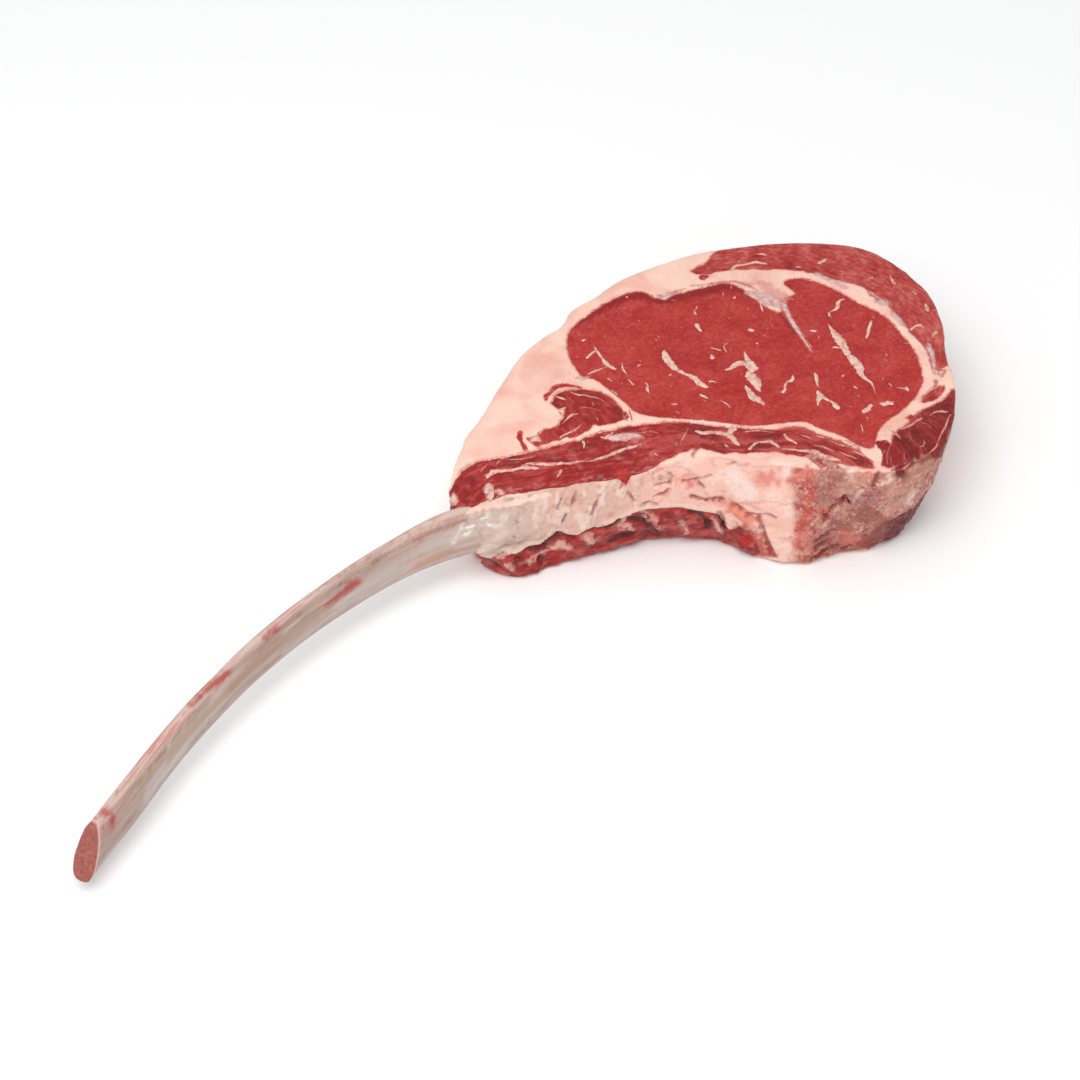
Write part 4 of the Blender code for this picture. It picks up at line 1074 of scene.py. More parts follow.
TOP_STAINS_AND_SHADE = (
    (NOTCH_PINK, tone(218, 152, 142), 0.6, 2.8), (CORNER_MEAT, tone(150, 40, 37), 0.95, 1.0),
    (RED_FLECKS, tone(176, 52, 46), 0.95, 0.7), (SILVERSKIN, tone(224, 172, 164), 0.85, 0.8),
    # painted shade: the clefts and the seams get the dark of the shade that falls in them
    (SHADED_CLEFTS, tone(168, 66, 60), 0.65, 1.3), (SEAM_SHADE, tone(170, 92, 94), 0.6, 0.6),
    (SINEW, tone(214, 130, 122), 0.7, 1.2), (SINEW_SHADOW, tone(140, 44, 44), 0.7, 1.2),
)
RIB_STAINS = (
    (RIB_GREY, tone(198, 186, 180), 0.55, 3.5), (RIB_TAN, tone(178, 146, 126), 0.6, 2.5),
    (RIB_RED, tone(176, 68, 60), 0.75, 2.2), (ORANGE, tone(212, 152, 130), 0.5, 3.5),
    (SHARDS, tone(236, 226, 218), 0.7, 1.2),
)  # the marks, their tone, how fully it covers, and how far in millimetres its rim fades
print(len(STAINS_AND_SHADE) + len(STRIP_STAINS) + len(TOP_STAINS_AND_SHADE) + len(RIB_STAINS), "kinds of stain")

# %% Turn stains, painted shade and rubble into layers of paint
def stain(spots, stains, where, fray, upper=0.0):
    """Paint layers for a group of marks, stains and painted shade alike, one for each: how much it
    covers, and its tone.
    """
    wall = unrolled(spots, upper)
    layers = []
    for group, shade, strength, soft in stains:
        on_side = len(group[0][0]) == 4
        off = gaps(wall, on_wall(group)) if on_side else gaps(spots, group)
        layers.append((where * strength * fall(off + fray * soft, -0.5 * soft, soft), shade))
    return layers


def rubble(spots, where):
    """Paint layers for the sawn chine face, a mix of bone, fat and bloody tissue."""
    large, small, tiny = rough(spots, 7, 3, 101), rough(spots, 3, 3, 103), rough(spots, 1.4, 2, 107)
    return [
        (0.97 * where, tone(200, 134, 119)),
        (0.80 * where * smooth(large + 0.6 * small, 0.20, 0.55), tone(232, 188, 170)),
        (0.75 * where * smooth(-large + 0.6 * small, 0.20, 0.55), tone(172, 92, 84)),
        (0.75 * where * smooth(small - 0.5 * tiny, 0.24, 0.40), tone(166, 56, 50)),
        (0.60 * where * smooth(-small + 0.6 * tiny, 0.28, 0.45), tone(144, 96, 92)),
        (0.65 * where * smooth(tiny - 0.3 * large, 0.30, 0.48), tone(240, 208, 194)),
    ]


print("the rubble has", len(rubble(np.zeros((1, 3)), np.ones(1))), "layers")

# %% Store the layers on a piece
def coat(made, layers, grain=None):
    """Stores the layers as paint, and the fibres' direction as grain, at the points of a piece."""
    colour = np.zeros((len(made.data.vertices), 3))
    cover = np.zeros(len(colour))
    for share, shade in layers:
        share = np.clip(share, 0, 1)
        total = share + cover * (1 - share)
        part = (share / np.maximum(total, 1e-6))[:, None]
        colour = colour * (1 - part) + np.array(shade[:3]) * part
        cover = total
    paint = made.data.color_attributes.new("paint", "FLOAT_COLOR", "POINT")
    paint.data.foreach_set("color", np.column_stack([colour, cover]).ravel())
    lines = made.data.attributes.new("grain", "FLOAT_VECTOR", "POINT")
    lines.data.foreach_set("vector", (drawn(made) if grain is None else grain).ravel())
    print(made.name, "is painted over", round(100 * float(cover.mean())), "% of its skin")


# %% Paint the fat
spots, facing = drawn(fat), normals(fat)
upper_cut, _, _, front_wall, chine_wall = faces_of(spots, facing)
wall = unrolled(spots, upper_cut)
fray, cloud = rough(spots, 2.6, 3, 51), rough(spots, 13, 2, 61)
_, seam = seams_at(spots)
plain_front = front_wall * (1 - chine_wall)
to_exit = fall(spots[:, 0], 4, 34)
sheath = plain_front * fall(spots[:, 0] + 6 * cloud, 52, 76)
sheath *= smooth(spots[:, 2] + 3 * fray, 11, 17)
# painted light: the low front by the fold is painted paler, against the shade that falls there near the
# floor
painted_light_low_front = plain_front * smooth(spots[:, 0], 104, 111) * fall(spots[:, 2], 8, 26)
top = upper_cut * smooth(spots[:, 2], 49, 52)
rim = top * fall(seam + 0.4 * fray, 0.1, 1.3)
layers = [
    (0.45 * smooth(cloud + 0.3 * fray, 0.1, 0.9), tone(242, 186, 172)),
    (0.40 * smooth(-cloud, 0.2, 0.9), tone(251, 220, 203)),
    (0.60 * rim, tone(230, 142, 130)),
    (0.85 * top * fall(seam + 0.5 * fray, 0.0, 0.8), tone(202, 88, 80)),
    (0.80 * plain_front, tone(244, 196, 182)),
    (0.60 * plain_front * smooth(cloud - 0.4 * fray, 0.1, 0.8), tone(250, 220, 209)),
    (0.60 * painted_light_low_front, tone(252, 214, 200)),
    (0.50 * plain_front * smooth(-fray - cloud, 0.2, 1.0), tone(230, 160, 145)),
    (0.40 * (plain_front - sheath).clip(0, 1) * creases(wall), tone(212, 138, 124)),
    (0.85 * sheath, tone(224, 182, 167)),
    (0.90 * sheath * to_exit, tone(208, 188, 175)),
    (0.65 * sheath * flakes(wall), tone(238, 219, 207)),
    (0.55 * sheath * smooth(-fray - 0.4 * cloud, 0.2, 0.7), tone(202, 156, 140)),
]
print("the sheath covers", round(100 * float(sheath.mean())), "% of the fat's skin")

# %% Paint the chine face, and the stains and painted shade over the fat, and store them
low_band = chine_wall * smooth(spots[:, 0] + 3 * fray, 138, 158) * fall(spots[:, 2] + 4 * fray, 13, 27)
low_red = chine_wall * fall(spots[:, 2] + 5 * fray, 14, 28) * smooth(fray + cloud, -0.5, 0.3)
layers += rubble(spots, chine_wall)
layers += [
    (0.7 * low_red, tone(172, 72, 64)),
    (0.9 * low_band, tone(122, 48, 44)),
    (0.8 * edge_lip(wall, fray), tone(238, 206, 193)),
]
layers += stain(spots, STAINS_AND_SHADE, 1.0, 0.9 * fray, upper_cut)
layers += stain(spots, TOP_STAINS_AND_SHADE, upper_cut, 0.6 * fray)
coat(fat, layers)

# %% How the fibres of a muscle run
EYE_TOP_EDGE = (
    (92, 71, 4), (101, 73.5, 6), (112, 75, 7), (122, 75, 7), (129, 72, 8), (135, 65, 10),
    (145, 62, 11), (156, 59, 11), (167, 54, 9), (171, 47, 6),
)
CAP_BEND, CAP_RADIUS = (150.0, 8.0), 85


def round_the_eye(spots):
    """Places for fibres that bend round the eye."""
    off = spots[:, :2] - CAP_BEND
    turn = np.arctan2(off[:, 1], off[:, 0])
    return np.column_stack([turn * CAP_RADIUS, np.hypot(off[:, 0], off[:, 1]), spots[:, 2]])


def along_the_rib(spots):
    """Places for fibres that follow the rib."""
    return np.column_stack([along(spots, RIB_SEAM), spots[:, 2]])


print("the cap's fibres bend round the eye at about", CAP_RADIUS, "mm")

# %% Where a muscle is darker, brighter or wetter
def top_band(skin):
    """The dark band below the eye's upper edge."""
    return 0.7 * skin.upper * fall(gap(skin.spots, EYE_TOP_EDGE) + 1.8 * skin.fray, -3.0, 1.4)


def dark_side(skin):
    """The side of the chine muscle, painted darker."""
    return skin.side * (0.8 + 0.3 * skin.fray)


def bright_right(skin):
    """Bundles of brighter fibres at the right end of the upper strip."""
    bundles = rough(along_the_rib(skin.spots), 4, 3, 93, (0.12, 1, 1))
    return 0.6 * smooth(skin.spots[:, 0] + 8 * skin.fray, 60, 100) * smooth(bundles, -0.15, 0.3)


def blood_spots(skin):
    """Fresh red on the torn lower strip."""
    return 0.6 * smooth(rough(skin.spots, 6, 3, 85), 0.15, 0.45)


def wet_tissue(skin):
    """Pale wet tissue on the torn lower strip."""
    return 0.45 * smooth(rough(skin.spots, 3.5, 3, 87, (0.5, 1, 1)), 0.25, 0.45)


def painted_hollow_shade(skin):
    """Painted shade between the torn bundles of the lower strip, in patches."""
    shaded_places = -rough(skin.spots, 8, 3, 89, (0.6, 1, 1)) - 0.3 * skin.fray
    return 0.55 * smooth(shaded_places, 0.0, 0.45)


UPPER_TONES = [(bright_right, tone(198, 90, 84))]
LOWER_TONES = [
    (painted_hollow_shade, tone(116, 26, 24)), (blood_spots, tone(186, 46, 40)),
    (wet_tissue, tone(200, 108, 98)),
]
print("the lower strip has", len(LOWER_TONES), "tones more than plain meat")

# %% Paint the muscles
def paint_muscle(name, stains, extra=(), grain=None):
    """Coats one muscle: a seam rim, a side film, tones of its own, then its stains and painted shade.
    """
    made = pieces[name]
    spots, facing = drawn(made), normals(made)
    upper_cut, lower_cut, side_wall, front_wall, _ = faces_of(spots, facing)
    fray = rough(spots, 2.2, 3, 71)
    _, seam = seams_at(spots)
    skin = SimpleNamespace(spots=spots, fray=fray, upper=upper_cut, side=side_wall)
    rim = (upper_cut + lower_cut) * fall(seam + 0.35 * fray, 0.1, 0.8)
    film = (side_wall - front_wall).clip(0, 1) * smooth(rough(spots, 9, 3, 81), -0.1, 0.5)
    layers = [(0.35 * rim, tone(204, 96, 88)), (0.6 * film, tone(206, 124, 112))]
    layers += [(share(skin), shade) for share, shade in extra]
    layers += stain(spots, TOP_STAINS_AND_SHADE, upper_cut, 0.6 * fray)
    layers += stain(spots, stains, 1.0, 0.8 * fray, upper_cut)
    coat(made, layers, None if grain is None else grain(spots))


paint_muscle("eye", (), [(top_band, tone(142, 33, 34))])
paint_muscle("cap", (), grain=round_the_eye)
paint_muscle("sliver", (), grain=round_the_eye)
paint_muscle("chine", STAINS_AND_SHADE, [(dark_side, tone(116, 36, 34))], along_the_rib)
paint_muscle("tail", ())
paint_muscle("upper", STAINS_AND_SHADE, UPPER_TONES, along_the_rib)
paint_muscle("lower", STRIP_STAINS, LOWER_TONES, along_the_rib)

# %% Where the rib is sawn, scraped, bloody or covered
spots, facing = drawn(rib), normals(rib)
RIB_SHARES = (1, 6, 11)  # turns the shares of a place on the rib into millimetres
place = rib_place(spots)
fray = rough(spots, 2.6, 3, 91)
lines = place * RIB_SHARES
streak, hair = rough(lines, 5, 3, 14, (0.14, 1, 1)), rough(lines, 2.2, 3, 19, (0.06, 1, 1))
lift = spots[:, 2] - rows[0, 2]
beyond = (spots[:, :2] - centre[0, :2]) @ heading[0] - RIB_TIP_SLANT * lift
tip = fall(beyond, 0.5, 1.5) * (place[:, 0] < 12)
tip_rim = fall(beyond, 1.6, 3.4) * (place[:, 0] < 14)
chine_end = smooth(facing @ TOWARDS_BONE, 0.45, 0.7) * smooth(spots[:, 0], 118, 121)
# the rib's thin upper edge is painted paler: partly its own tone, partly a painted highlight along the
# top
pale_edge_and_highlight = smooth(place[:, 2] + 0.10 * streak, 0.72, 0.9)
# painted shade: a dark line just below the upper edge, as in a furrow that the rib's mesh does not have
groove_shade = np.exp(-np.square((place[:, 2] + 0.08 * streak - 0.66) / 0.07))
near_tip = fall(place[:, 0], 8, 46)
near_meat = smooth(spots[:, 0] + 8 * fray, -62, -20) * fall(spots[:, 0], 20, 60)
by_chine = smooth(spots[:, 0] + 3 * fray, 98, 110)
crest = smooth(place[:, 2], 0.45, 0.75)
tip_blood = near_tip * smooth(place[:, 2], 0.35, 0.6) * smooth(fray + streak, -0.1, 0.6)
print("the saw cuts take up", round(100 * float((tip + chine_end).mean()), 1), "% of the rib's skin")

# %% Paint the rib
layers = [
    (0.8 * near_meat, tone(200, 178, 168)),
    (0.45 * smooth(streak, -0.1, 0.7), tone(196, 174, 164)),
    (0.50 * smooth(-streak, 0.1, 0.8), tone(190, 150, 138)),
    (0.65 * groove_shade * smooth(streak - fray, -0.3, 0.4), tone(146, 104, 92)),
    (0.75 * pale_edge_and_highlight, tone(216, 190, 179)),
    (0.45 * smooth(hair, 0.15, 0.5), tone(214, 198, 190)),
    (0.40 * smooth(-hair, 0.2, 0.55), tone(164, 132, 122)),
    (0.60 * crest * smooth(hair + 0.5 * streak, 0.2, 0.5), tone(204, 118, 108)),
    (0.35 * smooth(-hair + 0.7 * streak - fray, 0.5, 0.9), tone(190, 110, 100)),
    (0.55 * fall(place[:, 2], -0.95, -0.6), tone(184, 148, 136)),
    (0.70 * tip_blood, tone(180, 84, 72)),
]
for group, shade, strength, soft in RIB_STAINS:
    off = gaps(spots, group) + (0.5 * fray + 0.9 * hair) * soft
    layers.append((strength * fall(off, -0.5 * soft, soft), shade))
sponge = rough(spots, 1.5, 2, 33)  # the spongy bone that a saw cut lays open
layers += [
    (0.8 * tip_rim, tone(224, 186, 172)),
    (tip, tone(168, 92, 84)),
    (0.5 * tip * smooth(sponge, 0.1, 0.6), tone(200, 132, 120)),
    (0.6 * tip * smooth(-sponge, 0.15, 0.6), tone(140, 60, 56)),
    (0.97 * by_chine, tone(214, 160, 143)),
]
layers += rubble(spots, np.maximum(by_chine, chine_end)) + stain(spots, STAINS_AND_SHADE, chine_end, 0.9 * fray)
coat(rib, layers, place * RIB_SHARES)

# %% Paint the piece of backbone
backbone = pieces["backbone"]
spots = drawn(backbone)
fray = rough(spots, 2.6, 3, 51)
coat(backbone, rubble(spots, np.ones(len(spots))) + stain(spots, STAINS_AND_SHADE, 1.0, 0.9 * fray))

# %% [markdown]
# ## Finishes
# Every finish starts from noise at two sizes, clouds of about a centimetre and fibres of about a
# millimetre. A colour ramp turns that into the tones of the piece. The paint then covers it where
# there is any. A little light gets under the surface of meat and fat, so both have subsurface
# scattering, and a thin wet coat gives the soft shine.
# %% Node helpers
def wire(tree, kind, values, **settings):
    """Adds one node. values fill its inputs by name or number: a socket is linked, a value is set."""
    made = tree.nodes.new(kind)
    for key, value in settings.items():
        setattr(made, key, value)
    for key, value in values.items():
        if isinstance(value, bpy.types.NodeSocket):
            tree.links.new(value, made.inputs[key])
        else:
            made.inputs[key].default_value = value
    return made


def stored(tree, name):
    """What is stored at the points of a piece under a name: its grain, its paint or its core."""
    return wire(tree, "ShaderNodeAttribute", {}, attribute_name=name).outputs


def in_millimetres(tree):
    """The place on the piece itself, in millimetres."""
    place = wire(tree, "ShaderNodeTexCoord", {}).outputs["Object"]
    return wire(tree, "ShaderNodeVectorMath", {0: place, "Scale": 1 / MM}, operation="SCALE").outputs[0]


def start_finish(name):
    """A new material, its node tree, and the places of the fibres."""
    made = bpy.data.materials.new(name)
    made.use_nodes = True
    tree = made.node_tree
    return made, tree, stored(tree, "grain")["Vector"]


print("a millimetre is", MM, "m, so the nodes count places on a piece", round(1 / MM), "times over")

# %% Noise, cells and sums as nodes
def lumpy_places(tree, grain, size, stretch):
    """The places of the fibres, so many to a lump of a size in millimetres."""
    shrink = {"Vector": grain, "Scale": tuple(share / size for share in stretch)}
    return wire(tree, "ShaderNodeMapping", shrink).outputs["Vector"]


def lumps(tree, grain, size, stretch=(1, 1, 1), detail=3.0, warp=0.0):
    """Noise from 0 to 1 with lumps of a size in millimetres, drawn out along the fibres."""
    values = {"Vector": lumpy_places(tree, grain, size, stretch), "Scale": 1.0}
    values |= {"Detail": detail, "Distortion": warp}
    return wire(tree, "ShaderNodeTexNoise", values).outputs["Fac"]


def cells(tree, grain, size, stretch=(1, 1, 1)):
    """Rounded cells of a size in millimetres, 0 in their middle."""
    values = {"Vector": lumpy_places(tree, grain, size, stretch), "Scale": 1.0, "Smoothness": 0.4}
    return wire(tree, "ShaderNodeTexVoronoi", values, feature="SMOOTH_F1").outputs["Distance"]


def rise(tree, value, low, high):
    """0 below low, 1 above high, and a smooth rise between."""
    values = {"Value": value, "From Min": low, "From Max": high}
    return wire(tree, "ShaderNodeMapRange", values, interpolation_type="SMOOTHSTEP").outputs["Result"]


def sums(tree, first, second, share):
    """second times share, added to first."""
    values = {0: second, 1: share, 2: first}
    return wire(tree, "ShaderNodeMath", values, operation="MULTIPLY_ADD").outputs[0]


def times(tree, first, second):
    """The product of two numbers."""
    return wire(tree, "ShaderNodeMath", {0: first, 1: second}, operation="MULTIPLY").outputs[0]


def over(tree, under, shade, share):
    """One colour over another, by a share."""
    return wire(tree, "ShaderNodeMix", {0: share, 6: under, 7: shade}, data_type="RGBA").outputs[2]


def ramp(tree, value, shades):
    """Turns a number into a colour, by stops of a position and a shade."""
    made = wire(tree, "ShaderNodeValToRGB", {"Fac": value})
    stops = made.color_ramp.elements
    while len(stops) < len(shades):
        stops.new(0.5)
    for stop, (position, shade) in zip(stops, shades):
        stop.position, stop.color = position, shade
    return made.outputs["Color"]


red = np.array(tone(183, 60, 56)[:3])
print("the eye's red is", red.round(2), "to the shader")

# %% Paint over a finish, and its end
def painted(tree, grain, under):
    """Mixes the paint stored on the skin over a colour, with a frayed rim."""
    paint = stored(tree, "paint")
    frayed = sums(tree, paint["Alpha"], lumps(tree, grain, 0.9, detail=4), 0.5)
    return over(tree, under, paint["Color"], rise(tree, frayed, 0.28, 1.12))


MEAT_REACH, FAT_REACH, BONE_REACH = (1.0, 0.3, 0.2), (1.0, 0.5, 0.35), (1.0, 0.6, 0.5)
STRAND_REACH = (1.0, 0.4, 0.3)  # how far red, green and blue light get under the surface
SCATTER_MM, GLOSS, WET_ROUGHNESS = 1.6, 0.28, 0.22


def end_finish(tree, colour, height, bump_mm, roughness, under_skin, wet, reach=MEAT_REACH):
    """Links a colour and a height to the shader and sets its shine."""
    shader = tree.nodes["Principled BSDF"]
    bump = wire(tree, "ShaderNodeBump", {"Height": height, "Strength": 1.0, "Distance": bump_mm * MM})
    tree.links.new(colour, shader.inputs["Base Color"])
    tree.links.new(bump.outputs["Normal"], shader.inputs["Normal"])
    settings = {
        "Roughness": roughness, "Specular IOR Level": GLOSS, "Coat Weight": wet,
        "Coat Roughness": WET_ROUGHNESS, "Subsurface Weight": under_skin,
        "Subsurface Radius": reach, "Subsurface Scale": SCATTER_MM * MM,
    }
    for key, value in settings.items():
        shader.inputs[key].default_value = value


print("light gets about", SCATTER_MM, "mm under the skin of the meat")

# %% Red meat
PALE_FLECK = (236, 186, 172)


def flesh(name, dark, middle, light, fibre_mm, stretch, bump_mm, wet, flecked=0.5):
    """Red meat: clouds and fibres between three tones, with pale flecks of fat in between."""
    made, tree, grain = start_finish(name)
    clouds = lumps(tree, grain, 12, detail=4, warp=0.4)
    fibres = lumps(tree, grain, fibre_mm, stretch, detail=5)
    fine = lumps(tree, grain, fibre_mm * 0.35, stretch, detail=3)
    mixed = sums(tree, times(tree, clouds, 0.45), fibres, 0.55)
    colour = ramp(tree, mixed, ((0.34, tone(*dark)), (0.5, tone(*middle)), (0.66, tone(*light))))
    pale = [0.5 * m + 0.5 * p for m, p in zip(light, PALE_FLECK)]
    colour = over(tree, colour, tone(*pale), times(tree, rise(tree, fine, 0.62, 0.80), flecked))
    colour = painted(tree, grain, colour)
    end_finish(tree, colour, sums(tree, fibres, fine, 0.5), bump_mm, 0.42, 0.22, wet)
    return made


eye_red = flesh("eye_red", (164, 44, 42), (183, 60, 56), (198, 82, 76), 1.6, (1, 1, 1), 0.10, 0.10)
cap_red = flesh(
    "cap_red", (150, 40, 38), (184, 70, 65), (210, 114, 105), 1.5, (0.40, 1, 1), 0.16, 0.14, 0.7
)
strip_red = flesh(
    "strip_red", (112, 18, 18), (160, 40, 37), (198, 86, 80), 1.6, (0.18, 1, 1), 0.25, 0.3, 0.8
)
chine_red = flesh("chine_red", (98, 18, 19), (142, 38, 36), (180, 82, 76), 1.5, (0.30, 1, 1), 0.25, 0.2)
tail_red = flesh("tail_red", (112, 20, 20), (160, 42, 39), (192, 78, 72), 2.4, (1, 0.4, 1), 0.25, 0.25)
print("five reds, from the chine muscle's", chine_red.name, "to", eye_red.name)

# %% Fat
fat_cream, tree, grain = start_finish("fat_cream")
clouds = lumps(tree, grain, 16, detail=4, warp=0.5)
lobes = cells(tree, grain, 2.6)
fine = lumps(tree, grain, 1.0, detail=5)
mixed = sums(tree, times(tree, clouds, 0.75), fine, 0.25)
colour = ramp(
    tree, mixed,
    ((0.33, tone(238, 178, 162)), (0.5, tone(250, 205, 188)), (0.7, tone(253, 218, 201))),
)
colour = over(tree, colour, tone(238, 176, 160), times(tree, rise(tree, lobes, 0.45, 0.8), 0.12))
colour = painted(tree, grain, colour)
torn_parts = stored(tree, "paint")["Alpha"]
specks = lumps(tree, grain, 1.7, detail=5)
for shade, low, high, strength in (
    (tone(168, 82, 72), 0.56, 0.70, 0.24), (tone(253, 232, 221), 0.44, 0.30, 0.22),
):
    share = times(tree, rise(tree, specks, low, high), times(tree, torn_parts, strength))
    colour = over(tree, colour, shade, share)
height = sums(tree, times(tree, lobes, -0.4), fine, 0.6)
end_finish(tree, colour, height, 0.22, 0.46, 0.30, 0.08, FAT_REACH)
print(fat_cream.name, "has", len(tree.nodes), "nodes")

# %% The scraped outside of the rib
rib_skin, tree, grain = start_finish("rib_skin")
streaks = lumps(tree, grain, 1.8, (0.10, 1, 1), detail=5)
clouds = lumps(tree, grain, 14, (0.4, 1, 1), detail=4)
mixed = sums(tree, times(tree, clouds, 0.45), streaks, 0.55)
colour = ramp(
    tree, mixed,
    ((0.34, tone(152, 124, 112)), (0.5, tone(178, 153, 143)), (0.68, tone(200, 180, 171))),
)
colour = painted(tree, grain, colour)
end_finish(tree, colour, streaks, 0.25, 0.4, 0.12, 0.15, BONE_REACH)
print(rib_skin.name, "has", len(tree.nodes), "nodes")

# %% Sawn bone, spongy inside
sawn_bone, tree, grain = start_finish("sawn_bone")
place = in_millimetres(tree)
holes = cells(tree, place, 1.1)
fine = lumps(tree, place, 0.7, detail=4)
mixed = sums(tree, times(tree, holes, 0.6), fine, 0.4)
colour = ramp(
    tree, mixed,
    ((0.35, tone(198, 140, 126)), (0.55, tone(178, 116, 104)), (0.8, tone(148, 80, 72))),
)
paint = stored(tree, "paint")
colour = over(tree, colour, paint["Color"], times(tree, paint["Alpha"], 0.82))
end_finish(tree, colour, times(tree, holes, -1.0), 0.5, 0.5, 0.15, 0.12)
print(sawn_bone.name, "has", len(tree.nodes), "nodes")

# %% Strands of fat and of silverskin
def strand_finish(name, rim, pale, blush, low, high):
    """Fades from the tone of the meat at the rim to pale fat in the middle."""
    made, tree, _ = start_finish(name)
    place = in_millimetres(tree)
    torn_rim = sums(tree, stored(tree, "core")["Fac"], lumps(tree, place, 0.8, detail=4), 0.9)
    patches = lumps(tree, place, 2.4, detail=3)
    fat_tone = ramp(tree, patches, ((0.36, tone(*blush)), (0.56, tone(*pale))))
    colour = over(tree, tone(*rim), fat_tone, rise(tree, torn_rim, low, high))
    end_finish(tree, colour, torn_rim, 0.15, 0.42, 0.25, 0.1, STRAND_REACH)
    return made


marbling = strand_finish("marbling", (184, 64, 60), (238, 204, 188), (224, 160, 148), 0.60, 1.05)
strip_fat = strand_finish("strip_fat", (172, 64, 60), (236, 190, 176), (212, 138, 126), 0.60, 1.10)
shred = strand_finish("shred", (190, 92, 84), (236, 192, 178), (216, 146, 132), 0.55, 1.1)
shard = strand_finish("shard", (184, 166, 156), (240, 232, 224), (220, 202, 192), 0.50, 1.0)
chine_fat = strand_finish("chine_fat", (150, 48, 46), (218, 160, 148), (196, 110, 100), 0.60, 1.10)
silverskin = strand_finish("silverskin", (190, 104, 100), (230, 192, 186), (206, 150, 148), 0.50, 1.1)
print("six finishes for strands, from", marbling.name, "to", silverskin.name)

# %% [markdown]
# ## Dressing
# Each piece is one kind of tissue, so it gets one finish, apart from the rib: its saw cuts show spongy
# bone. They could be a piece of their own, but a second material slot on the same mesh leaves no seam.
# %% Dress the pieces
FINISHES = {
    "eye": eye_red, "cap": cap_red, "chine": chine_red, "sliver": cap_red, "tail": tail_red,
    "upper": strip_red, "lower": strip_red, "fat": fat_cream, "rib": rib_skin, "backbone": sawn_bone,
}
for name, finish in FINISHES.items():
    pieces[name].data.materials.clear()
    pieces[name].data.materials.append(finish)
MOSTLY_SAWN = 0.6
rib.data.materials.append(sawn_bone)
sawn_share = tip + chine_end
for face in rib.data.polygons:
    if np.mean(sawn_share[list(face.vertices)]) > MOSTLY_SAWN:
        face.material_index = 1
print("dressed", len(FINISHES), "pieces")

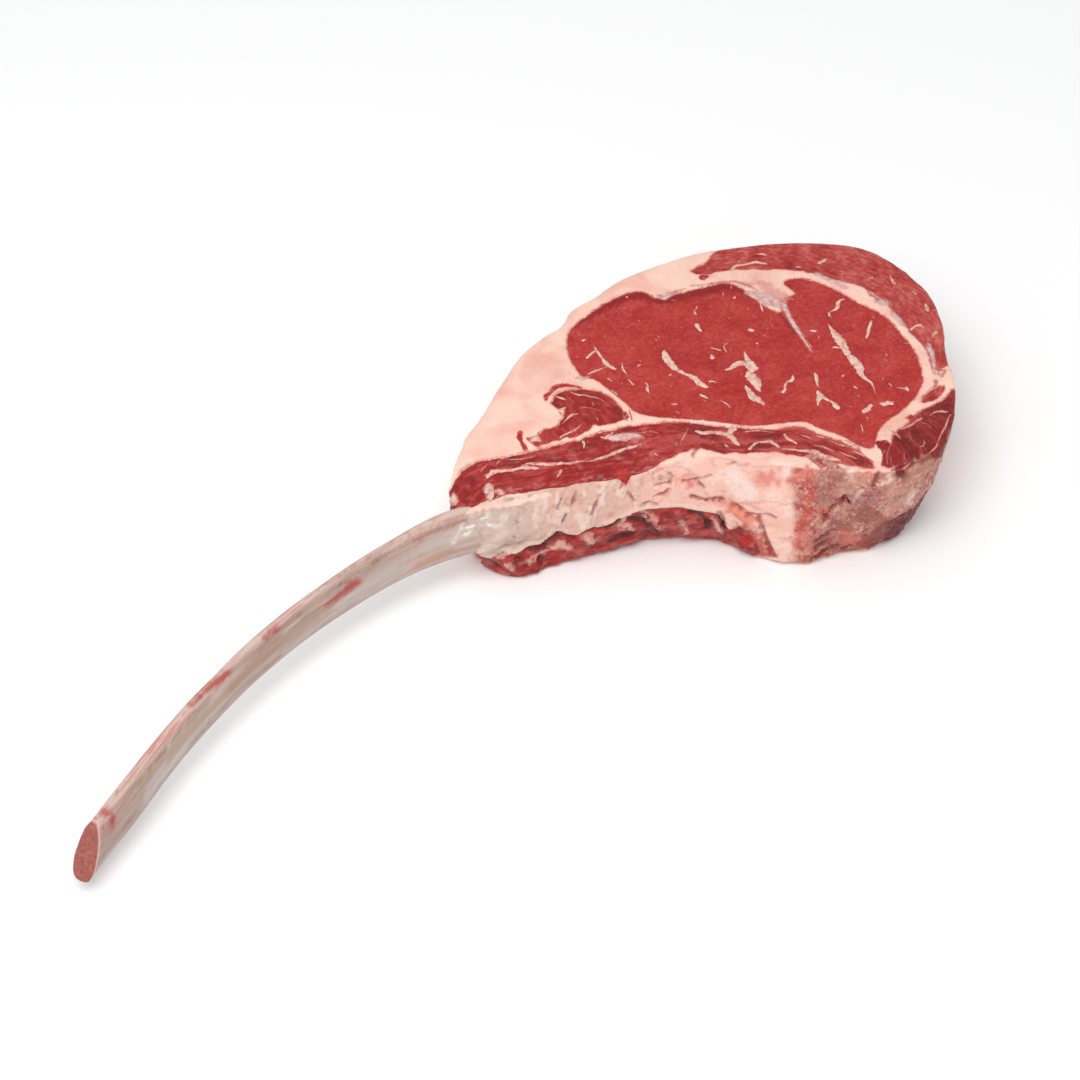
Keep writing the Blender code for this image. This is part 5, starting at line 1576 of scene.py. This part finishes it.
# %% [markdown]
# ## Marbling
# Fat runs through a muscle in fine sheets, which show at the cut as pale, ragged strokes. A stroke is
# laid as a thin strand that follows the surface under it: five points across, its rims sunk into
# the meat, and its width uneven. The value core is 0 at the rims and 1 in the middle, and lets
# the finish fade from red to cream, as fat in meat has no hard edge.
# %% Strokes of fat in the eye
EYE_MARBLING = (
    ((116.2, 35.5, 1.4), (114.1, 31.1, 3.8), (113.2, 25.9, 3.6), (113.1, 20.4, 2.8)),
    ((113.1, 21.2, 3.1), (114.9, 16.8, 1.6), (116.4, 12.8, 3), (116.6, 7.8, 3.2),
     (118.1, 3.8, 0.6)),
    ((145.5, 15, 0.7), (143.8, 10.4, 2.2), (142.5, 6.3, 4.6), (141.6, 3.7, 5.9), (139.3, 1.2, 3.6)),
    ((138.9, 3, 4.1), (137.7, -0.9, 5.9), (137.2, -5.3, 4.7), (136, -8.4, 2.6),
     (135.5, -11.2, 0.5)),
    ((130.5, 9.6, 1), (133.3, 8.8, 1.8), (137.1, 9.6, 3.2), (140, 8.9, 3.4), (140.9, 6.5, 2.6)),
    ((132.4, -3.6, 1.1), (131.5, -8.5, 2.7), (131.4, -13.2, 3.2), (131.6, -16.5, 3),
     (131.9, -19, 1.2)), ((130.4, -8.5, 0.8), (129.5, -11.9, 1.7), (129.8, -15.3, 0.9)),
    ((187.9, 8.5, 0.6), (186.9, 4.3, 1.9), (185.9, 0, 4.3), (185.2, -4.6, 4.4), (183.8, -9.3, 3.3),
     (182.4, -14.1, 3.6)),
    ((182.8, -12.8, 3.5), (182.2, -18, 4.6), (181.6, -22.4, 4.7), (179.5, -26.6, 2.6),
     (179.3, -30.5, 1.7), (179.6, -34.4, 1.1), (176.7, -41, 0.4)),
    ((179, -5.3, 0.7), (181.2, -6.1, 1.4), (182.3, -8.4, 0.7)),
    ((163.1, -13.7, 0.5), (162.2, -16.3, 1.9), (160.1, -19.8, 1.4), (158.5, -22.7, 0.7)),
    ((156.9, -24, 1), (155.6, -27.9, 3.1), (152.9, -30, 1.8), (151, -32.6, 0.9)),
    ((156, -27.4, 2.4), (156.6, -30.9, 1.9), (157.7, -33.9, 1.2), (157.6, -36.9, 2.8),
     (157.1, -39.7, 2.2)),
    ((154, -10.2, 0.9), (151.6, -12.7, 1.9), (149, -12.4, 1.1), (146.7, -14, 1.3),
     (145.1, -16.1, 1.4), (142.5, -16.7, 1.7)),
    ((204.6, 17.7, 1.3), (202.7, 18.3, 0.9), (200.4, 17.5, 2), (198, 15, 1.9), (194.9, 14.7, 0.9),
     (193, 14.4, 0.9), (191.6, 11.9, 1.4)),
    ((206, -0.5, 1), (201.5, -4.1, 1.8), (198.5, -7.1, 1.4), (195.7, -9.3, 1)),
    ((171.6, -44.6, 1.6), (168.1, -46.3, 2.5), (164.4, -46.9, 2.4)),
    ((174.5, -45.9, 1.3), (176.3, -47.9, 3), (178.6, -48.6, 2.6), (179.2, -50.6, 1.3)),
    ((160, -51.8, 0.5), (158.4, -54.5, 0.9), (157.2, -56.8, 0.9)),
    ((132.1, 21.6, 0.7), (131.3, 19.7, 2.2), (130.6, 18, 3.9)),
    ((133.8, 25.4, 1), (136, 23.1, 0.8), (137.3, 20.4, 1)),
    ((143.6, 23.6, 0.6), (140.1, 22.7, 0.8), (138.4, 18.1, 0.8)),
    ((139, 42.6, 1.5), (138.1, 39.8, 2.2), (137.6, 36.1, 0.9)),
    ((146, 51.5, 1.4), (144.4, 50.1, 0.5), (142.5, 48.9, 0.9), (142.4, 46.6, 1.4)),
    ((155.1, 25.6, 1.4), (156.5, 24.5, 2.1), (157.5, 22.9, 1.7)),
    ((153.5, 16.7, 0.8), (153.3, 14.9, 1.7)),
    ((91.8, 55.3, 0.6), (91, 51.8, 1.4), (90.2, 46.7, 1.3), (89.7, 41.4, 2.4), (91.3, 36.6, 0.6)),
    ((91.7, 52.1, 1.3), (88.3, 51.9, 1.2), (83.8, 50.1, 1.6)),
    ((90.1, 40.4, 0.6), (85.7, 41, 0.8), (81.6, 41.4, 1.2), (78.3, 41.2, 0.6)),
    ((95.8, 39.1, 0.5), (93.8, 35.6, 1.2), (93.1, 30.6, 0.5)), ((92, 29, 0.8), (91.5, 23.7, 1.1)),
    ((97, 23, 0.8), (96.5, 20.1, 1), (95.4, 19.3, 1.4), (93.8, 14.7, 0.5)),
    ((102.3, 33.7, 0.8), (99.7, 33.1, 1.3)), ((84.6, 34.7, 1.2), (85.3, 31.1, 0.6)),
    ((81, 53.9, 1), (81.8, 52.7, 1)), ((88.6, 61, 1.1), (91.4, 61.1, 1.1)),
    ((112.2, 3.3, 0.9), (113.1, 0.6, 1.5), (113.9, -1.9, 0.7)),
    ((117.2, -4.9, 0.7), (118.3, -7.9, 0.9), (118.6, -12, 0.8)),
    ((119.9, 7.1, 1.5), (122.2, 6.4, 0.9), (122.9, 4.4, 1)), ((97.7, 4.9, 0.6), (100.5, 2.8, 1.3)),
    ((107.7, 20.5, 1.3), (109.7, 20.3, 0.9)), ((81.6, 27.3, 0.7), (82.2, 22.8, 1)),
    ((153.7, 37.4, 1), (152.8, 35.5, 0.8)),
    ((174.7, 43, 1.2), (171.7, 38.3, 1.1), (168.2, 31.3, 1.1)),
    ((178.3, 10, 0.9), (179.7, 8.2, 1.6), (181.3, 8, 1)), ((179.2, 5.3, 0.6), (178.6, 2.3, 0.9)),
    ((171.1, -23, 0.9), (173.3, -23, 1.2)), ((171.8, -30.7, 1.3), (172.4, -33.5, 1.3)),
    ((186.2, -38.1, 1.1), (185.8, -40.9, 0.8)),
    ((190.9, -43.6, 0.8), (190.5, -45.6, 1.7), (189.6, -47.4, 0.8)),
    ((186.8, -42.4, 0.6), (188.6, -43.6, 0.9), (190.1, -45.4, 0.9)),
    ((196.6, -22, 1), (196.8, -23.9, 1.3)), ((164.9, -50.4, 0.9), (163.3, -51.7, 0.6)),
    ((172.7, 3.4, 0.7), (172.5, -0.6, 0.7)), ((161.4, 52.6, 0.8), (159.8, 50.4, 0.8)),
    ((162.3, 46.2, 1.5), (164.6, 47, 1)), ((123.4, 75.4, 1.4), (122.9, 73.1, 0.6)),
    ((117.2, 43.9, 1.2), (117.6, 42.9, 0.8)), ((127.3, -10.5, 0.4),),
)
print(len(EYE_MARBLING), "strokes of fat in the eye")

# %% Streaks in the other muscles
CAP_STREAKS = (
    ((173, 62.3, 1.5), (176.9, 64.4, 1.7), (180, 63.2, 1.4), (183.7, 62.1, 1.5), (186.6, 61.3, 2.1),
     (188.4, 59.2, 1.4), (190.3, 57.1, 1)), ((179.8, 66.9, 1.5), (181.3, 65, 0.7)),
    ((190, 65.9, 0.8), (192.2, 64.3, 1.3), (193.7, 61.6, 0.7)),
    ((208.8, 44.3, 0.8), (211.2, 44.4, 2), (213.6, 44.5, 1.6), (215.2, 45.1, 0.6)),
    ((233.5, 5.9, 0.6), (233.5, 1.5, 1.4)),
    ((233.1, -4.8, 0.8), (231.7, -8, 2), (230.4, -10.4, 1.4)),
    ((215.9, -15.7, 1.3), (218.8, -14.8, 1.3), (221.9, -15.3, 1.6), (221.7, -18.4, 0.6)),
    ((220.5, -25.7, 0.6), (223.3, -23.6, 1.6), (226, -23.1, 1.2)),
    ((232, 20.2, 0.5), (230, 14, 1.8), (230.7, 12.7, 1.4)),
    ((213.3, 32.8, 1.1), (215.2, 31.5, 0.7)), ((209.6, 53.6, 1.7), (209.8, 52.4, 1.1)),
    ((199.2, 48.3, 1.1), (201.9, 46.5, 0.9)), ((221.8, 22.9, 0.9), (225, 22.5, 1.1)),
)
STRIP_STREAKS = (
    ((8, 16.3, 1.4), (10.1, 17.1, 2), (13.3, 17.2, 1.8), (16.4, 15.7, 1.4), (20, 13.9, 1.4),
     (24.2, 12.4, 1.6), (28, 10.3, 1.5), (31.2, 8.1, 0.8)),
    ((23.8, 13.4, 0.5), (28.1, 12.1, 1.1), (31.9, 9.9, 1.4), (35.5, 7.5, 1.6), (39.5, 5.5, 1.4),
     (43.5, 3.7, 1.2), (47.5, 1.9, 0.9), (51.5, 0, 0.8), (55.1, -1, 1.1), (58.7, -1.8, 1.5),
     (62.6, -2.3, 1.5), (66.4, -3, 1.4), (69.9, -4.1, 1.3), (72.8, -5.3, 0.9), (75.3, -6.3, 0.5)),
    ((61.3, 6.6, 0.9), (63, 5.1, 1.4), (65.6, 5.1, 1.1), (68, 5.5, 1.3)),
    ((96.4, -14.9, 1.1), (98.7, -17.7, 2.3), (102.5, -19.9, 2.6), (105.2, -22.8, 2.8),
     (107.5, -25.6, 3.6), (107.3, -30.3, 2.3), (107.4, -33.9, 1)),
    ((107.6, -26.3, 2.2), (110.2, -23.5, 3), (113.7, -23, 3.4)),
    ((108.5, -38.2, 1.7), (112.1, -37, 1.4), (115.2, -36.4, 1.4), (117.4, -37.8, 1.2),
     (119.8, -39.1, 1.9), (120.6, -41.5, 1.9), (120.9, -44.8, 1.1)),
    ((128.1, -38.1, 1.1), (127.2, -41.5, 1.7), (128.1, -43.9, 1.5), (128.6, -47.5, 1)),
    ((113.3, -27.3, 0.6), (117.4, -29.1, 1.1), (121.7, -32.1, 0.8), (124.9, -35.8, 0.5)),
    ((120.9, -45.5, 0.9), (124.2, -47.7, 1), (127.4, -50.6, 1.7), (131, -53.9, 2.7),
     (133.2, -58.1, 2.8), (135.6, -62.1, 2.3), (138.4, -66.3, 1.6)),
    ((133.4, -51.3, 0.4), (136.3, -53.3, 0.9), (138, -56.8, 0.9), (139.4, -60, 0.5)),
    ((141.4, -52.3, 0.6), (143.2, -56.4, 0.9), (145.6, -59.7, 1), (148.1, -61.5, 0.4)),
    ((140.9, -60.2, 0.6), (142.7, -64.9, 1), (144.9, -69.1, 0.5)),
    ((145.6, -62.5, 0.5), (147.3, -66, 1.3), (148.3, -69, 1), (148.7, -71.3, 0.5)),
    ((138.5, -46.7, 0.5), (140.8, -49.6, 1), (143.4, -51.9, 0.4)),
    ((133.5, -42.6, 0.5), (135.2, -46, 0.9), (136.4, -49.5, 0.6)),
    ((147.4, -56.6, 0.6), (148.8, -60.6, 1), (149.6, -64.4, 0.5)),
    ((86.5, -18.3, 0.4), (90, -15.6, 0.9), (93.5, -13.6, 0.6), (95.4, -11.8, 0.4)),
    ((77.4, -11.7, 0.3), (76.5, -13.7, 0.7), (77.5, -16, 0.5)),
    ((85.7, -14.1, 0.5), (86.1, -16.6, 0.8), (84.3, -16.8, 0.5)),
    ((73.5, 1.2, 0.4), (77, -1.5, 0.5), (80.8, -3.7, 0.7), (83.3, -7, 0.4)),
    ((7.3, 19.9, 0.4), (10, 20.9, 0.8), (12.5, 21.5, 0.3)),
    ((14.4, 18.8, 0.4), (16.6, 19.9, 0.7), (18.9, 20.2, 0.3)),
    ((19.9, 19.3, 0.3), (23.5, 16.9, 0.6), (28.5, 14.9, 0.7), (32.9, 13.8, 0.4)),
    ((46.1, 7.5, 0.4), (46.5, 5.8, 0.7), (47.6, 4.3, 0.4)),
    ((53.7, 9.3, 1.4), (53.4, 7.3, 1.2), (51.7, 5.6, 0.5)),
    ((34.6, 0.7, 0.9), (37.1, 2.1, 1.4), (39.1, 2.6, 0.5)), ((44.5, -4.9, 0.4), (48.2, -3.3, 0.6)),
    ((99.2, -24.4, 0.6), (99, -26.1, 1.7)),
    ((102.4, -28.8, 0.5), (102.5, -30.3, 1.2), (103.2, -32.1, 0.5)),
)
TAIL_STREAKS = (
    ((50.6, 20.4, 0.4), (54.6, 22.3, 1.1), (58.4, 23.2, 1.4), (60.8, 22, 0.7)),
    ((45.4, 15, 0.9), (48.7, 15.2, 1.1), (52.2, 14.9, 1.1), (55.3, 14.9, 1), (58.1, 15.8, 0.5)),
    ((65.5, 36.8, 0.6), (66.9, 33.3, 1.1), (70, 30, 1), (72.9, 26.4, 0.9), (75, 21.7, 0.4)),
    ((58.4, 38.1, 0.5), (60.2, 35.2, 1.4), (61.3, 32.1, 0.8)),
    ((63.8, 25.6, 0.4), (67, 22.6, 0.6), (69.8, 18.1, 0.4)), ((69.9, 25.1, 0.8), (69.2, 22.6, 0.7)),
    ((66.2, 16, 0.6), (65.1, 13.6, 0.8)), ((78.1, 12.3, 0.5), (75.9, 9.2, 0.7), (76, 6.2, 0.8)),
    ((80.3, 11.6, 0.7), (78.8, 7.9, 0.7), (77.4, 5.2, 0.4)),
    ((54.3, 29.7, 0.7), (56.6, 29.2, 1.4), (58.8, 28.6, 0.7)), ((54.3, 28.1, 1), (53.9, 25.3, 0.8)),
)
CHINE_STREAKS = (
    ((170, -64.4, 0.4), (173.6, -64.8, 1.3), (177.4, -64.9, 1.4), (181.1, -64.5, 1.6),
     (184.7, -64.1, 1.1)), ((167.6, -63.9, 2.1), (168.2, -66.7, 1.5), (167.8, -70.1, 0.4)),
    ((174.1, -67.7, 0.4), (172.3, -71.4, 0.8), (169.8, -73.1, 0.4)),
    ((180.8, -65.7, 0.5), (183.3, -68.1, 0.7), (183.5, -72.7, 0.4)),
    ((176.5, -75.2, 0.4), (174.3, -78, 1.1), (171.2, -78.4, 0.7)),
    ((196.6, -69, 0.9), (193.1, -71.2, 1.1), (190, -73.7, 1.1), (186.7, -75.7, 1.2),
     (183.3, -77.9, 1), (180.3, -80.2, 0.8), (177.9, -81.9, 1.1), (174.4, -82.8, 1),
     (170.8, -83.1, 0.5)),
    ((187.5, -64.9, 0.8), (191.2, -64.4, 1.1), (193.8, -65.4, 1.8), (196.4, -67.7, 1.1)),
    ((164.7, -76.9, 0.3), (162.4, -79.1, 0.8), (161.8, -81.9, 0.4)),
    ((158.7, -72.5, 0.7), (155.4, -76, 0.8), (152.7, -80.2, 0.4)),
    ((159.3, -79.5, 0.3), (157, -81.7, 0.5), (154.5, -82.1, 1), (151.9, -83.4, 1.1)),
    ((163.4, -83.4, 0.4), (159.2, -84.5, 1.1), (155.9, -84.6, 0.4)),
)
print(len(STRIP_STREAKS), "streaks in the upper strip of rib meat")

# %% Nubs of fat and tissue
NUBS = (
    ((3.7, 10.5, 46.4, 2.9), (6.7, 11.9, 47.3, 4.5), (5.4, 7.7, 47.1, 2.2), (2.3, 5.3, 46.5, 1.3)),
    ((71.1, -19.3, 43.5, 4), (73.7, -21.6, 46.3, 6.1), (76.4, -23.8, 44.3, 4.3)),
    ((33.6, 20.1, 54.1, 1.8), (36.9, 20.5, 54.4, 2.9), (37.5, 17.3, 54.2, 1.4)),
)
print(len(NUBS), "nubs")

# %% The surface that the strands lie on
def surface_of(group):
    """All faces of a group of pieces, ready to be asked where a ray meets them."""
    corners, faces = [], []
    for made in group:
        start = len(corners)
        corners.extend(drawn(made).tolist())
        faces.extend(tuple(start + i for i in face.vertices) for face in made.data.polygons)
    return BVHTree.FromPolygons(corners, faces)


body = surface_of(pieces.values())
UP, DOWN = Vector((0, 0, 1)), Vector((0, 0, -1))
FORWARD = Vector((-0.44, -0.65, 0.62)).normalized()
RAY_START = 9.0


def landing(point, out):
    """The spot of the surface below a point, seen from outside."""
    found = body.ray_cast(point + out * RAY_START, -out, 2 * RAY_START)
    return found if found[0] is not None else body.find_nearest(point)


print("the eye's cut lies", round(landing(Vector((150, 0, 50)), UP)[0].z, 1), "mm up")

# %% Lay a strand along a path
dice = np.random.default_rng(7)
STRAND_STEP, LEAST_WIDTH, TAPER, RAGGEDNESS = 0.7, 0.35, 0.6, 0.6
STRAND = (
    (-1.2, -0.35, 0.0), (-0.85, 0.06, 0.55), (0.0, 0.13, 1.0), (0.85, 0.06, 0.55),
    (1.2, -0.35, 0.0), (0.7, -0.8, 0.0), (-0.7, -0.8, 0.0),
)  # share of half the width, height in mm, core


def lay(rows, out, z=THICKNESS, lift=1.0):
    """The rings of points of one strand, along a path that lands on the surface against out."""
    rows = np.array(rows, float)
    size = rows.shape[1] - 1
    if len(rows) == 1:
        rows = np.repeat(rows, 2, 0)
        rows[:, 0] += (-0.5 * rows[0, size], 0.5 * rows[0, size])
    line = curve(rows, STRAND_STEP, flat=size)
    steps = np.linalg.norm(np.diff(line[:, :size], axis=0), axis=1)
    gone = np.concatenate([[0], np.cumsum(steps)])
    width = np.maximum(line[:, size], LEAST_WIDTH)
    end = np.minimum(gone, gone[-1] - gone) / (TAPER * width)
    width = width * np.sqrt(np.clip(end, 0.01, 1))
    fade = 0.42 + 0.58 * smooth(width, 0.5, 1.7)
    seed = dice.uniform(0, 99)
    points = [Vector((*row[:size], z)[:3]) for row in line]
    rings = []
    for k, point in enumerate(points):
        foot = landing(point, out)[0]
        sideways = (points[min(k + 1, len(points) - 1)] - points[max(k - 1, 0)]).cross(out)
        if sideways.length < 1e-6:
            continue
        sideways.normalize()
        shown = fade[k] * (0 < k < len(points) - 1)
        ring = []
        for across, height, core in STRAND:
            stray = noise.noise(Vector((gone[k] / 0.9, seed, 9 * math.copysign(1, across))))
            uneven = 1 + RAGGEDNESS * stray
            spot = landing(foot + sideways * (across * 0.5 * width[k] * uneven), out)[0]
            ring.append((*(spot + out * height * lift), core * shown))
        rings.append(ring)
    return rings


print("a strand has", len(STRAND), "points round it")

# %% Join the strands into one piece
strewn = {}


def strands(name, laid, surface):
    """One object from many strands, each a closed thin body."""
    corners, faces = [], []
    around = len(STRAND)
    for rings in laid:
        if len(rings) < 2:
            continue
        start = len(corners)
        corners.extend(corner for ring in rings for corner in ring)
        faces += between(len(rings), around, start)
        faces.append(tuple(range(start, start + around))[::-1])
        faces.append(tuple(range(len(corners) - around, len(corners))))
    corners = np.array(corners)
    made = new_piece(name, corners[:, :3], faces, surface)
    made.data.attributes.new("core", "FLOAT", "POINT").data.foreach_set("value", corners[:, 3])
    made.data.shade_smooth()
    strewn[name] = made
    print(name, len(laid), "strands,", len(faces), "faces")


# %% Short dashes, scattered with a seed
LEAN_SPREAD, EDGE_ROOM = 28, 0.9


def dashes(plan, count, out, z, longest=2.6, lean=-90.0):
    """Short strands inside an outline, most of them along the lean of the fibres."""
    low, high = plan[:, :2].min(0), plan[:, :2].max(0)
    spots = dice.uniform(low, high, (count * 3, 2))
    kept = spots[inside(spots, plan) & (away(spots, plan[:, :2], 3) > EDGE_ROOM)][:count]
    found = []
    for x, y in kept:
        turn = math.radians(lean + dice.normal(0, LEAN_SPREAD))
        reach = 0.25 + 0.5 * longest * dice.random() ** 3
        dx, dy = reach * math.cos(turn), reach * math.sin(turn)
        width = 0.35 + 0.45 * dice.random() ** 2
        found.append(lay(((x - dx, y - dy, width * 0.7), (x + dx, y + dy, width)), out, z))
    return found


def below(group, shrink=1.0, shift=1.5):
    """The same sheets of fat where they leave the steak at its lower cut, moved a little."""
    moved = []
    for rows in group:
        rows = np.array(rows, float)
        rows[:, :2] = eye_middle + (rows[:, :2] - eye_middle) * shrink + dice.normal(0, shift, 2)
        rows[:, 2] *= dice.uniform(0.6, 1.0)
        moved.append(rows)
    return moved


print("the dashes lean up to about", LEAN_SPREAD, "degrees either way")

# %% Lay the marbling of the eye, above and below
STROKES_BELOW = 40  # the longer strokes, which reach the lower cut
upper_marbling = [lay(rows, UP) for rows in EYE_MARBLING]
upper_marbling += dashes(plans["eye"], 260, UP, THICKNESS)
strands("eye_marbling", upper_marbling, marbling)
lower_marbling = [lay(rows, DOWN, 0.0) for rows in below(EYE_MARBLING[:STROKES_BELOW], EYE_LOW_SCALE)]
lower_marbling += dashes(narrow, 180, DOWN, 0.0)
strands("eye_marbling_below", lower_marbling, marbling)

# %% Lay the streaks of the other muscles
strands("chine_streaks", [lay(rows, UP) for rows in CHINE_STREAKS], chine_fat)
streaks = [lay(rows, UP) for rows in (*CAP_STREAKS, *STRIP_STREAKS, *TAIL_STREAKS)]
streaks += dashes(plans["cap"], 90, UP, THICKNESS, 2.2, 40.0)
strands("strip_streaks", streaks, strip_fat)
streaks = [lay(rows, DOWN, 0.0) for rows in below(CAP_STREAKS)] + dashes(plans["cap"], 70, DOWN, 0.0)
strands("strip_streaks_below", streaks, strip_fat)

# %% Lay what stands out: nubs, loose shreds, shards and silverskin
raised = [lay(rows, FORWARD, lift=5.0) for rows in NUBS]
raised += [lay(rows, FORWARD, lift=1.2) for rows in LOOSE_SHREDS]
strands("nubs_and_shreds", raised, shred)
strands("shards_on_the_rib", [lay(rows, FORWARD, lift=1.6) for rows in SHARDS], shard)
strands("silverskins", [lay(rows, UP, lift=0.8) for rows in (*SILVERSKIN, *SINEW)], silverskin)

# %% [markdown]
# ## Standing for the imported steak
# The imported solids carry the weight and the collisions, and these pieces are what is seen. Each
# says which body it rides on and which solid it stands for, and that solid is hidden. A steak has no
# joints, so all of it rides on the root.
# %% Ride and replace
STANDS_FOR = {
    "eye": ("eye_muscle", "muscle"), "cap": ("cap_muscle", "cap_muscle"),
    "chine": ("chine_muscle", "dark_muscle"), "sliver": ("seam_sliver", "dark_muscle"),
    "tail": ("tail_muscle", "dark_muscle"), "upper": ("rib_meat_upper", "dark_muscle"),
    "lower": ("rib_meat_lower", "dark_muscle"), "fat": ("fat", "fat"), "rib": ("rib_bone", "bone"),
    "backbone": ("chine_bone", "sawn_bone"),
}
for name, (node, slot) in STANDS_FOR.items():
    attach(pieces[name], "root")
    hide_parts(node)
for made in strewn.values():
    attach(made, "root")
print(len(STANDS_FOR), "pieces stand for packed ones, and", len(strewn), "lie on top")
